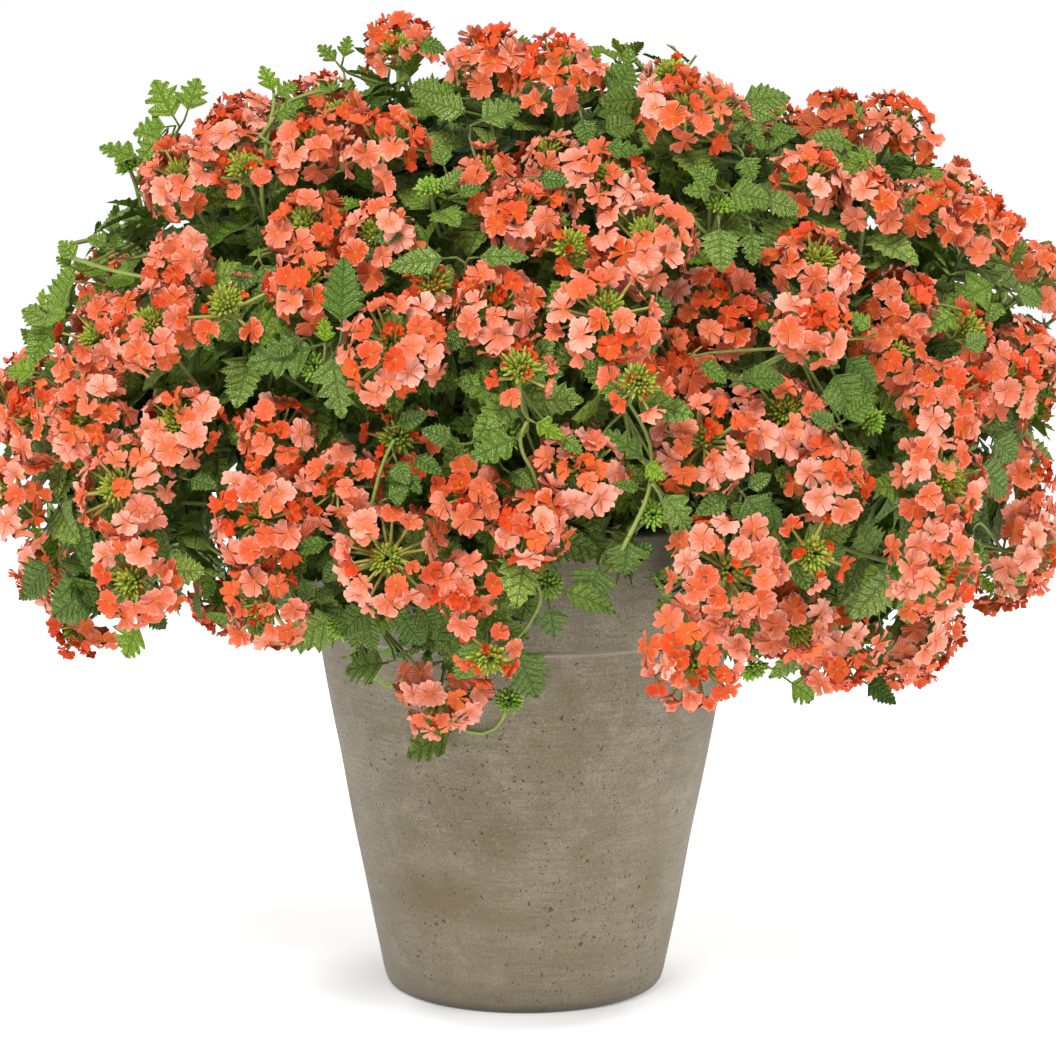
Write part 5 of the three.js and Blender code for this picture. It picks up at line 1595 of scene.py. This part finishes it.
def add_stems(shape, rng, index, heads, twigs):
    """Limbs, stalks and twigs of a slice as smooth tubes, with short hairs."""
    crown = rounded(limb_line(index, 0), 14)
    widths = np.interp(np.linspace(0, 1, 14), *CROWN_RADII)
    add_tubes(shape, crown[None], widths, 8, "stems", np.array([[0.1, 0.5, 0]]))
    for limb in (1, 2):
        line = rounded(limb_line(index, limb), 10)
        add_tubes(shape, line[None], np.linspace(*LIMB_RADII, 10), 7, "stems",
                  np.array([[0.15, 0.4, 0]]))
    lines, shades = [], []
    for head in heads:
        if head.slice == index and head.stalk:
            top = 9 * (head.r / HEAD_FULL_R) if head.flower else 0
            lines.append(rounded([*head.stalk, add(head.at, times(head.axis, top))], 10))
            shades.append((0.4, rng.random(), 0))
    stalks = np.array(lines)
    add_tubes(shape, stalks, np.linspace(*STALK_RADII, 10), 6, "stems", np.array(shades))
    if twigs:
        paths = np.array([path for path, *_ in twigs])
        thick = np.array([np.linspace(start, end, TWIG_POINTS) for _, start, end, _ in twigs])
        tints = np.array([(youth, rng.random(), 0) for *_, youth in twigs])
        add_tubes(shape, paths, thick, 5, "stems", tints)
    add_hairs(shape, rng, stalks)


def add_hairs(shape, rng, lines):
    """Short hairs that stand off the outer half of each stalk."""
    n, k, _ = lines.shape
    at = rng.uniform(0.4 * (k - 1), k - 1.01, (n, HAIRS_PER_STALK))
    low = at.astype(int)
    part = (at - low)[..., None]
    rows = np.arange(n)[:, None]
    spots = (lines[rows, low] * (1 - part) + lines[rows, low + 1] * part).reshape(-1, 3)
    runs = units((lines[rows, low + 1] - lines[rows, low]).reshape(-1, 3))
    flat, side = squares_to(runs, rng.uniform(0, 6.3, len(spots)))
    feet = spots + flat * HAIR_ROOT_R * 0.9
    long = rng.uniform(*HAIR_LENGTHS, (len(spots), 1))
    tips = feet + flat * long + runs * long * 0.3
    points = np.stack([feet - side * HAIR_HALF, feet + side * HAIR_HALF, tips], 1)
    faces = np.arange(len(spots) * 3).reshape(-1, 3)
    shape.add(points, faces, "hairs", shades=(0.9, 0, 0))


# -------------------------------------------------------------------------------- pot and soil


def turned_shape(profile, sides, wobble=None):
    """Corners and faces of a turned shape. wobble moves the corners of a ring in and out."""
    turns = even_turns(sides)
    rings = []
    for k, (r, z) in enumerate(profile):
        radii = np.full(sides, float(r))
        height = np.full(sides, float(z))
        if wobble:
            radii, height = wobble(k, turns, radii, height)
        rings.append(np.stack([radii * np.cos(turns), radii * np.sin(turns), height], 1))
    return np.array(rings).reshape(-1, 3), tube_faces(len(profile), sides, 1)


def eased(start, end, corner, steps=4):
    """A rounded corner of a profile, as a few points from one side to the other."""
    points = []
    for t in (i / steps for i in range(steps + 1)):
        shares = ((1 - t) ** 2, 2 * t * (1 - t), t * t)
        points.append(tuple(sum(share * c for share, c in zip(shares, along))
                            for along in zip(start, corner, end)))
    return points


def wall_at(heights, inwards=0):
    """The pot's profile at some heights, or that of a surface inside it."""
    return [(float(pot_radius(z)) - inwards, z) for z in heights]


def make_pot(materials):
    """The pot: a turned shell with a rounded foot and lip, and a faint uneven raised line."""
    top = POT_HEIGHT
    inner_r = POT_RIM_R - POT_WALL
    outer = eased((POT_BASE_R - 5, 0), (float(pot_radius(9.0)), 9), (POT_BASE_R, 0.6), 5)
    outer += wall_at(np.linspace(14, POT_LINE_Z - 5, 22))
    line_from = len(outer)
    for off, proud in LINE_PROFILE:
        outer += wall_at([POT_LINE_Z + off], -proud)
    line_to = len(outer)
    outer += wall_at(np.linspace(POT_LINE_Z + 8, top - 4, 8))
    outer += eased((POT_RIM_R - 0.4, top - 3), (POT_RIM_R - 3, top), (POT_RIM_R, top))
    outer += eased((inner_r + 3, top), (inner_r, top - 4), (inner_r, top))
    outer += wall_at(np.linspace(top - 12, POT_FLOOR, 8), POT_WALL)

    def wobble(k, turns, radii, height):
        if line_from <= k < line_to:
            height = height + 0.5 * np.sin(3 * turns + 1) + 0.3 * np.sin(11 * turns)
            flaws = 0.5 + 0.5 * np.sin(7 * turns + 2) * np.sin(3 * turns)
            radii = radii - 0.35 * flaws * (line_from < k < line_to - 1)
        z = height[0]
        soft = 0.22 * np.sin(5 * turns + z * 0.05) + 0.15 * np.sin(9 * turns - z * 0.08)
        return radii + soft * (radii > POT_BASE_R), height

    shape = Shape(["pot"])
    shape.add(*turned_shape(outer, POT_SIDES, wobble), "pot")
    add_pot_bottom(shape, outer[0][0], 0.0, False)
    add_pot_bottom(shape, outer[-1][0], POT_FLOOR, True)
    for turn in drain_turns():
        wall, sheet = turned_shape([(DRAIN_R, 0), (DRAIN_R, POT_FLOOR)], DRAIN_SIDES)
        shape.add(wall + drain_at(turn, 0), sheet[:, ::-1], "pot")
    return shape.make("fine_pot", materials)


def drain_turns():
    return [(i + 0.5) * 2 * math.pi / DRAIN_COUNT for i in range(DRAIN_COUNT)]


def drain_at(turn, z):
    return np.array([DRAIN_RING_R * math.cos(turn), DRAIN_RING_R * math.sin(turn), z])


def add_pot_bottom(shape, radius, z, up):
    """A flat disc with the drain holes left out: each third of it is fanned to its hole."""
    turns = even_turns(POT_SIDES)
    rim = np.stack([radius * np.cos(turns), radius * np.sin(turns), np.full(POT_SIDES, z)], 1)
    centre = np.array([[0, 0, z]])
    points = [rim, centre]
    faces = []
    middle, base = POT_SIDES, POT_SIDES + 1
    third = POT_SIDES // DRAIN_COUNT
    for i, turn in enumerate(drain_turns()):
        at = drain_at(turn, z)
        angles = even_turns(DRAIN_SIDES) + turn
        points.append(at + DRAIN_R * np.stack([np.cos(angles), np.sin(angles), angles * 0], 1))
        outline = [middle, *((i * third + k) % POT_SIDES for k in range(third + 1))]
        count = len(outline)
        outer = np.concatenate([rim, centre])[outline]
        angle = np.unwrap(np.arctan2(outer[:, 1] - at[1], outer[:, 0] - at[0]))
        hole_of = np.round((angle - turn) / (2 * math.pi / DRAIN_SIDES)).astype(int)
        for k in range(count):
            after = (k + 1) % count
            a, b = outline[k], outline[after]
            p, q = hole_of[k], hole_of[after]
            if after == 0:
                q = hole_of[0] + DRAIN_SIDES * (1 if hole_of[-1] > hole_of[0] else -1)
            faces.append((a, b, base + p % DRAIN_SIDES))
            step = 1 if q > p else -1
            for m in range(p, q, step):
                faces.append((base + m % DRAIN_SIDES, b, base + (m + step) % DRAIN_SIDES))
        base += DRAIN_SIDES
    faces = np.array(faces)
    shape.add(np.concatenate(points), faces if up else faces[:, ::-1], "pot")


def make_soil(rng, materials):
    """The soil: its sides up from the pot's floor, and a crumbly top."""
    inside = POT_WALL + SOIL_GAP
    edge = wall_at([SOIL_TOP], inside)[0][0]
    low = POT_FLOOR + 0.4
    profile = [(0.5, low), (wall_at([POT_FLOOR], inside)[0][0], low)]
    profile += wall_at(np.linspace(60, SOIL_TOP - 6, 5), inside)
    top_from = len(profile)
    for shares in (np.linspace(1, 0.5, 14)[:-1], np.linspace(0.46, 0.01, 10)):
        profile += [(edge * share, SOIL_TOP) for share in shares]

    def wobble(k, turns, r, height):
        if k > top_from:
            height = height + rng.uniform(-1.6, 2.6, len(turns))
            r = r + rng.uniform(-0.8, 0.8, len(turns)) * (k > top_from + 1)
        return r, height

    shape = Shape(["soil"])
    shape.add(*turned_shape(profile, SOIL_SIDES, wobble), "soil")
    turn = rng.uniform(0, 2 * math.pi, CRUMBS)
    far = edge * 0.97 * np.sqrt(rng.random(CRUMBS))
    at = np.stack([far * np.cos(turn), far * np.sin(turn), np.full(CRUMBS, SOIL_TOP + 1.2)], 1)
    corners = np.array([(1, 0, 0), (-1, 0, 0), (0, 1, 0), (0, -1, 0), (0, 0, 1), (0, 0, -1)], float)
    size = rng.uniform(*CRUMB_R, (CRUMBS, 1, 1))
    points = at[:, None] + corners[None] * size * rng.uniform(0.6, 1.3, (CRUMBS, 6, 1))
    faces = np.array([(0, 2, 4), (2, 1, 4), (1, 3, 4), (3, 0, 4),
                      (2, 0, 5), (1, 2, 5), (3, 1, 5), (0, 3, 5)])
    shape.add(points, copied(faces, 6, CRUMBS), "soil")
    return shape.make("fine_soil", materials)


# ----------------------------------------------------------------------------------- materials

# The colour sockets of a Mix node
MIX_INPUTS = (6, 7)
MIX_RESULT = 2


class Look:
    """Builds a material round its Principled node."""

    def __init__(self, name, roughness, specular=0.5, sheen=0.0):
        self.material = bpy.data.materials.new(name)
        self.material.use_nodes = True
        self.nodes = self.material.node_tree.nodes
        self.shader = next(node for node in self.nodes if node.type == "BSDF_PRINCIPLED").inputs
        self.set(self.shader["Roughness"], roughness)
        self.set(self.shader["Specular IOR Level"], specular)
        if sheen:
            self.set(self.shader["Sheen Weight"], sheen)
            self.set(self.shader["Sheen Roughness"], 0.5)
        self.at = self.node("TexCoord")["Object"]

    def set(self, slot, value):
        """Gives an input a number, a place, a colour, or the output of another node."""
        if isinstance(value, bpy.types.NodeSocket):
            self.material.node_tree.links.new(value, slot)
        else:
            slot.default_value = (*value, 1) if slot.type == "RGBA" else value

    def node(self, kind, inputs=(), **settings):
        """The outputs of a new node with these settings and inputs."""
        node = self.nodes.new("ShaderNode" + kind)
        for name, value in settings.items():
            setattr(node, name, value)
        for name, value in dict(inputs).items():
            self.set(node.inputs[name], value)
        return node.outputs

    def part(self, attribute, axis):
        """One number of a stored corner attribute."""
        stored = self.node("Attribute", attribute_name=attribute)["Vector"]
        return self.node("SeparateXYZ", {0: stored})[axis]

    def math(self, operation, a, b=None, clamp=False):
        inputs = {0: a} if b is None else {0: a, 1: b}
        return self.node("Math", inputs, operation=operation, use_clamp=clamp)[0]

    def spread(self, value, low, high, to_low=0.0, to_high=1.0):
        """A value taken from one range to another, and held inside it."""
        return self.node("MapRange", {"Value": value, "From Min": low, "From Max": high,
                                      "To Min": to_low, "To Max": to_high})["Result"]

    def blend(self, share, a, b):
        """The first colour, with a share of it taken up by the second."""
        inputs = {"Factor": share, MIX_INPUTS[0]: a, MIX_INPUTS[1]: b}
        return self.node("Mix", inputs, data_type="RGBA")[MIX_RESULT]

    def over(self, base, value, low, high, most, colour):
        """A colour over another: none of it where a value is low, the most where it is high."""
        return self.blend(self.spread(value, low, high, 0.0, most), base, colour)

    def noise(self, scale, detail=2.0, roughness=0.5, stretch=None):
        """A cloudy noise, squeezed along each axis by the stretch."""
        at = self.at
        if stretch:
            at = self.node("Mapping", {"Vector": at, "Scale": stretch})["Vector"]
        return self.node("TexNoise", {"Vector": at, "Scale": scale, "Detail": detail,
                                      "Roughness": roughness})["Fac"]

    def net(self, scale):
        """The distance to a fine net of lines."""
        return self.node("TexVoronoi", {"Vector": self.at, "Scale": scale},
                         feature="DISTANCE_TO_EDGE")["Distance"]

    def pits(self, scale, share, size, bend):
        """Small holes darkened by painted shade in a share of the cells, bent out of round by a
        noise.
        """
        noise = self.node("TexNoise", {"Vector": self.at, "Scale": scale * 1.7})["Color"]
        bent = self.node("VectorMath", {0: noise, 1: (bend / scale,) * 3, 2: self.at},
                         operation="MULTIPLY_ADD")[0]
        cells = self.node("TexVoronoi", {"Vector": bent, "Scale": scale})
        pick = self.node("SeparateColor", {0: cells["Color"]})
        wide = self.math("ADD", self.math("MULTIPLY", pick[1], size), size * 0.4)
        depth = self.math("DIVIDE", self.math("SUBTRACT", wide, cells["Distance"]), size)
        crowd = self.spread(self.noise(13, 2), 0.42, 0.62, 0.25 * share, 2.2 * share)
        chosen = self.math("LESS_THAN", pick[0], crowd)
        return self.math("MULTIPLY", self.math("MULTIPLY", depth, 2.5, clamp=True), chosen)

    def near(self, at, wide, high, uneven):
        """The distance from a spot as a share of a patch's half breadth and half height."""
        size = (1 / wide, 1 / wide, 1 / high)
        moved = self.node("Mapping", {"Vector": self.at, "Scale": tuple(k / MM for k in size),
                                      "Location": tuple(-c * k for c, k in zip(at, size))})
        far = self.node("VectorMath", {0: moved["Vector"]}, operation="LENGTH")["Value"]
        return self.math("ADD", far, self.spread(uneven, 0.3, 0.7, 0.6, -0.6))

    def bump(self, height, distance, strength=1.0):
        bumped = self.node("Bump", {"Height": height, "Distance": distance, "Strength": strength})
        self.set(self.shader["Normal"], bumped["Normal"])

    def colour(self, source):
        self.set(self.shader["Base Color"], source)


def petal_look():
    """Coral, from orange to pink, with a pale edge, a darker foot, a warm throat and painted shade
    on lower and sunk florets.
    """
    look = Look("petals", 0.62, 0.18)
    t, s, own = (look.part("place", i) for i in range(3))
    age, tint, low = (look.part("shade", i) for i in range(3))
    speck = look.noise(420, 3, 0.6)
    side = look.math("ABSOLUTE", s)
    edge = look.math("MAXIMUM", look.spread(t, 0.70, 1.0), look.spread(side, 0.72, 1.0))
    edge = look.math("MULTIPLY", edge, look.spread(t, 0.15, 0.5))
    tint = look.math("ADD", tint, look.spread(own, 0, 1, -0.14, 0.14), clamp=True)
    ripe = look.blend(tint, (0.67, 0.092, 0.010), (0.93, 0.430, 0.320))
    ripe = look.over(ripe, t, 0.62, 0.10, 0.55, (0.67, 0.080, 0.008))
    ripe = look.blend(look.math("MULTIPLY", edge, 0.55), ripe, (0.98, 0.55, 0.43))
    # Painted shade: lower rings and sunk heads are blended towards a deeper orange by the third
    # shade value
    ripe = look.blend(low, ripe, (0.58, 0.100, 0.020))
    young = look.blend(tint, (0.68, 0.050, 0.006), (0.82, 0.150, 0.025))
    body = look.blend(look.spread(age, 0.12, 0.70), young, ripe)
    # What a colour depends on, where it starts and is at its most, how much that is, and it
    for value, start, end, most, colour in ((t, 0.36, 0.06, 0.55, (0.84, 0.15, 0.035)),
                                            (t, 0.13, 0.04, 0.7, (0.80, 0.42, 0.08)),
                                            (speck, 0.40, 0.75, 0.30, (0.68, 0.10, 0.02))):
        body = look.over(body, value, start, end, most, colour)
    look.colour(body)
    ribs = look.math("SINE", look.math("MULTIPLY", s, 14))
    look.bump(look.math("ADD", look.math("MULTIPLY", ribs, 0.6), speck), 0.0004, 0.6)
    return look.material


def leaf_look():
    """Green, with painted shade along the sunken veins, in a fine net and where a leaf is set in
    painted shadow; lighter and yellower when young.
    """
    look = Look("leaves", 0.43, 0.34)
    count, y, x = (look.part("place", i) for i in range(3))
    youth, tint, dark = (look.part("shade", i) for i in range(3))
    rib = look.spread(look.math("ABSOLUTE", y), 0.0, 0.10)
    lane = look.math("ABSOLUTE", look.math("SUBTRACT", look.math("FRACT", count), 0.5))
    plump = look.math("MULTIPLY", rib, look.spread(lane, 0.0, 0.15))
    speck = look.noise(620, 3, 0.65)
    net = look.spread(look.net(760), 0.0, 0.16, 0.35, 1.0)
    rough = look.math("MULTIPLY", look.spread(speck, 0.30, 0.62, 0.35, 1.0), net)
    relief = look.math("MULTIPLY", look.spread(plump, 0, 1, 0.38, 1.0), rough)
    # Painted shade: where the relief is low, along the sunken veins and in the net's creases, the
    # colour goes darker
    deep = look.blend(tint, (0.030, 0.070, 0.004), (0.060, 0.118, 0.008))
    light = look.blend(tint, (0.180, 0.325, 0.034), (0.450, 0.590, 0.125))
    old = look.blend(relief, deep, light)
    fresh = look.blend(relief, (0.11, 0.22, 0.003), (0.34, 0.53, 0.022))
    body = look.blend(look.spread(youth, 0.10, 0.95), old, fresh)
    body = look.blend(look.spread(x, 0.15, 0.10), body, (0.13, 0.20, 0.045))
    # Painted shadow: the third shade value blends a leaf towards this dark green, for leaves deep
    # in the mound, low on a stalk or low in front
    shadow = look.blend(relief, (0.028, 0.064, 0.007), (0.105, 0.190, 0.026))
    look.colour(look.blend(dark, body, shadow))
    look.bump(look.math("ADD", plump, look.math("MULTIPLY", net, 0.8)), 0.0008, 0.9)
    return look.material


def plain_look(name, low, high):
    """A colour that varies with a corner's tint and a fine speckle."""
    look = Look(name, 0.6, 0.35)
    share = look.math("ADD", look.part("shade", 1), look.noise(300, 2))
    look.colour(look.blend(look.math("MULTIPLY", share, 0.5), low, high))
    return look.material


def stem_look():
    """Green, lighter and yellower when young, with a pale speckle."""
    look = Look("stems", 0.55, 0.35, sheen=0.06)
    youth, tint = (look.part("shade", i) for i in range(2))
    old = look.blend(tint, (0.07, 0.115, 0.03), (0.12, 0.16, 0.045))
    fresh = look.blend(tint, (0.22, 0.30, 0.045), (0.32, 0.40, 0.07))
    body = look.blend(youth, old, fresh)
    look.colour(look.over(body, look.noise(350, 2), 0.4, 0.7, 0.35, (0.32, 0.38, 0.12)))
    look.bump(look.noise(900, 2), 0.0003, 0.5)
    return look.material


def bud_look():
    """Green, lighter towards the tip, which is red on some."""
    look = Look("buds", 0.55, 0.30, sheen=0.05)
    t = look.part("place", 0)
    youth, tint, red = (look.part("shade", i) for i in range(3))
    low = look.blend(youth, (0.11, 0.13, 0.010), (0.11, 0.22, 0.012))
    high = look.blend(tint, (0.32, 0.42, 0.025), (0.56, 0.66, 0.08))
    high = look.blend(look.math("MULTIPLY", youth, 0.7), high, (0.27, 0.50, 0.06))
    tip = look.math("MULTIPLY", look.spread(t, 0.62, 0.85), red)
    look.colour(look.blend(tip, look.blend(t, low, high), (0.70, 0.09, 0.02)))
    return look.material


def pot_look():
    """Clouded, brushed and stained grey-beige, darker at the foot with a painted shadow where it
    meets the floor, a painted highlight on the raised line, pits in painted shade and fine grain.
    """
    look = Look("pot", 0.88, 0.20, sheen=0.22)
    z = look.node("SeparateXYZ", {0: look.at})[2]
    cloud = look.noise(9, 5, 0.6)
    mottle = look.noise(60, 5, 0.65)
    grain = look.noise(700, 3, 0.6)
    brushed = look.noise(40, 4, 0.6, stretch=(1, 1, 14))
    stain = look.noise(14, 4, 0.7, stretch=(1, 1, 0.6))
    line = look.math("ABSOLUTE", look.math("SUBTRACT", z, POT_LINE_Z * MM))
    base = look.blend(look.spread(cloud, 0.35, 0.65), (0.208, 0.173, 0.114), (0.284, 0.243, 0.173))
    # What a colour depends on, where it starts and is at its most, how much that is, and it
    for value, start, end, most, colour in (
            (mottle, 0.44, 0.66, 0.75, (0.340, 0.298, 0.222)),
            (brushed, 0.46, 0.64, 0.50, (0.160, 0.132, 0.086)),
            (stain, 0.56, 0.72, 0.50, (0.190, 0.142, 0.064)),
            *((look.near(at, wide, high, mottle), 1.25, 0.35, most, (0.158, 0.112, 0.044))
              for at, wide, high, most in POT_STAINS),
            (grain, 0.40, 0.66, 0.55, (0.150, 0.126, 0.088)),
            (grain, 0.46, 0.30, 0.32, (0.400, 0.355, 0.275)),
            # A painted highlight: a lighter band along the raised line
            (line, 0.0018, 0.0004, 0.45, (0.40, 0.36, 0.29)),
            (z, 0.150, 0.0, 0.40, (0.150, 0.122, 0.078)),
            (z, 0.022, 0.0, 0.40, (0.095, 0.076, 0.048)),
            # A painted shadow: a dark band where the foot meets the floor
            (z, 0.006, 0.001, 0.55, (0.052, 0.036, 0.020))):
        base = look.over(base, value, start, end, most, colour)
    # Pits of three sizes: cells a metre, the share that have one, its size and its bend
    coarse, middling, fine = (look.pits(*row) for row in (
        (110, 0.035, 0.14, 0.9), (260, 0.05, 0.26, 0.8), (620, 0.07, 0.36, 0.6)))
    pits = look.math("MAXIMUM", look.math("MAXIMUM", coarse, middling), fine)
    # The pits are darkened with painted shade
    look.colour(look.blend(look.math("MULTIPLY", pits, 0.8), base, (0.060, 0.046, 0.030)))
    height = look.math("SUBTRACT", look.math("MULTIPLY", mottle, 0.4), pits)
    look.bump(look.math("ADD", height, look.math("MULTIPLY", grain, 0.15)), 0.0009, 0.8)
    return look.material


def soil_look():
    """Dark brown and crumbly."""
    look = Look("soil", 0.95, 0.2)
    grain = look.noise(300, 4, 0.7)
    share = look.spread(grain, 0.3, 0.7)
    look.colour(look.blend(share, (0.014, 0.009, 0.006), (0.060, 0.040, 0.026)))
    look.bump(grain, 0.002)
    return look.material


def make_materials():
    return {
        "petals": petal_look(),
        "eyes": plain_look("eyes", (0.30, 0.20, 0.02), (0.70, 0.44, 0.10)),
        "tubes": plain_look("tubes", (0.30, 0.35, 0.05), (0.60, 0.44, 0.14)),
        "leaves": leaf_look(),
        "stems": stem_look(),
        "buds": bud_look(),
        "hairs": plain_look("hairs", (0.35, 0.42, 0.22), (0.55, 0.62, 0.38)),
        "pot": pot_look(),
        "soil": soil_look(),
    }


# --------------------------------------------------------------------- stage, light and camera


def floor_look():
    """White, and partly lit from itself, but less round the pot's foot, for a close shadow."""
    look = Look("floor", 1.0, 0.0)
    look.set(look.shader["Base Color"], (0.82, 0.82, 0.82))
    look.set(look.shader["Emission Color"], (1, 1, 1))

    def fade(at, reach, low, high):
        middle = (at[0] * MM, at[1] * MM, 0)
        far = look.node("VectorMath", {0: look.at, 1: middle}, operation="DISTANCE")["Value"]
        limits = {"Value": far, "From Min": reach[0] * MM, "From Max": reach[1] * MM,
                  "To Min": low, "To Max": high}
        return look.node("MapRange", limits, interpolation_type="SMOOTHSTEP")["Result"]

    glow = look.math("MULTIPLY", fade(SHADOW_AT, SHADOW_REACH, FOOT_GLOW, FLOOR_GLOW),
                     fade(FRONT_SHADOW_AT, FRONT_SHADOW_REACH, FRONT_SHADOW, 1))
    look.set(look.shader["Emission Strength"], glow)
    return look.material


def make_stage():
    """A white floor under an even white sky."""
    bpy.ops.mesh.primitive_plane_add(size=FLOOR_SIZE, location=(0, 0, 0))
    floor = bpy.context.object
    floor.name = "floor"
    floor.data.materials.append(floor_look())
    world = bpy.data.worlds.new("white")
    world.use_nodes = True
    background = next(n for n in world.node_tree.nodes if n.type == "BACKGROUND")
    background.inputs["Color"].default_value = (1, 1, 1, 1)
    background.inputs["Strength"].default_value = SKY_STRENGTH
    scene = bpy.context.scene
    scene.world = world
    scene.view_settings.view_transform = "Standard"
    scene.view_settings.look = "None"


def add_light(name, at, size, power, aim):
    data = bpy.data.lights.new(name, "AREA")
    data.size = size
    data.energy = power
    light = bpy.data.objects.new(name, data)
    bpy.context.scene.collection.objects.link(light)
    light.location = at
    way = np.array(aim) - np.array(at)
    flat = math.hypot(way[0], way[1])
    light.rotation_euler = (math.atan2(flat, -way[2]), 0, math.atan2(-way[0], way[1]))


def make_camera():
    data = bpy.data.cameras.new("camera")
    data.sensor_fit = "HORIZONTAL"
    data.angle = CAMERA_FOV
    data.clip_end = FLOOR_SIZE
    camera = bpy.data.objects.new("camera", data)
    bpy.context.scene.collection.objects.link(camera)
    camera.location = [c * MM for c in CAMERA_AT]
    camera.rotation_euler = (math.pi / 2 - CAMERA_DOWN, 0, -CAMERA_ASIDE)
    bpy.context.scene.camera = camera


# ------------------------------------------------------------------------- putting it together


def place(piece, node, slot):
    """Says what a finer piece rides on and which node it replaces. slot is not used."""
    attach(piece, "root")
    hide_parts(node)


def grow_foliage(heads, rows, box):
    """The leaves, the twigs and the bud clusters of all slices, waiting to be made."""
    rng = np.random.default_rng(SPRIG_SEED)
    lengths = lengths_of_slices(heads)
    plant = SimpleNamespace(rng=rng, heads=heads, rows=rows, lengths=lengths, box=box,
                            foliages=[Foliage() for _ in range(SLICES)],
                            twigs=[[] for _ in range(SLICES)])
    for leaf in grow_leaves(heads, rows, lengths):
        plant.foliages[leaf.slice].add("fine", leaf.foot, leaf.along, leaf.face, leaf.length,
                                       LEAF_HALF, LEAF_FOLD, LEAF_ARCH, 0.1)
    grow_front_leaves(plant)
    plant.clusters = grow_front_stems(plant)
    grow_sprigs(plant)
    grow_stalk_leaves(plant)
    return plant


def main():
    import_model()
    cad_low, cad_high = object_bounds()
    box = (np.array(cad_low) / MM - LEAF_PAST_BOX, np.array(cad_high) / MM + LEAF_PAST_BOX)

    heads = set_out()
    settle(heads, join_bunches(heads))
    plant = grow_foliage(heads, grow_stalks(heads), box)
    materials = make_materials()

    for index in range(SLICES):
        shape = Shape(["leaves", "stems", "buds", "hairs"])
        plant.foliages[index].build(shape, plant.rng)
        add_stems(shape, plant.rng, index, heads, plant.twigs[index])
        for head in [head for head in heads if head.stalk] + plant.clusters:
            if head.slice == index:
                add_buds(shape, plant.rng, head)
        name = f"leafy_stem_{index + 1:02d}"
        place(shape.make(f"fine_{name}", materials), name, "foliage")

    bunches = dict.fromkeys(head.bunch for head in heads if head.flower)
    for k, bunch in enumerate(bunches):
        shape = Shape(["petals", "eyes", "tubes"])
        for head in heads:
            if head.flower and head.bunch == bunch:
                add_head_florets(shape, np.random.default_rng(HEAD_SEED + head.number), head)
        name = f"flower_bunch_{k + 1:02d}"
        place(shape.make(f"fine_{name}", materials), name, "petals")

    place(make_pot(materials), "pot", "pot")
    place(make_soil(plant.rng, materials), "soil", "soil")

    make_stage()
    for light in LIGHTS:
        add_light(*light)
    make_camera()


main()
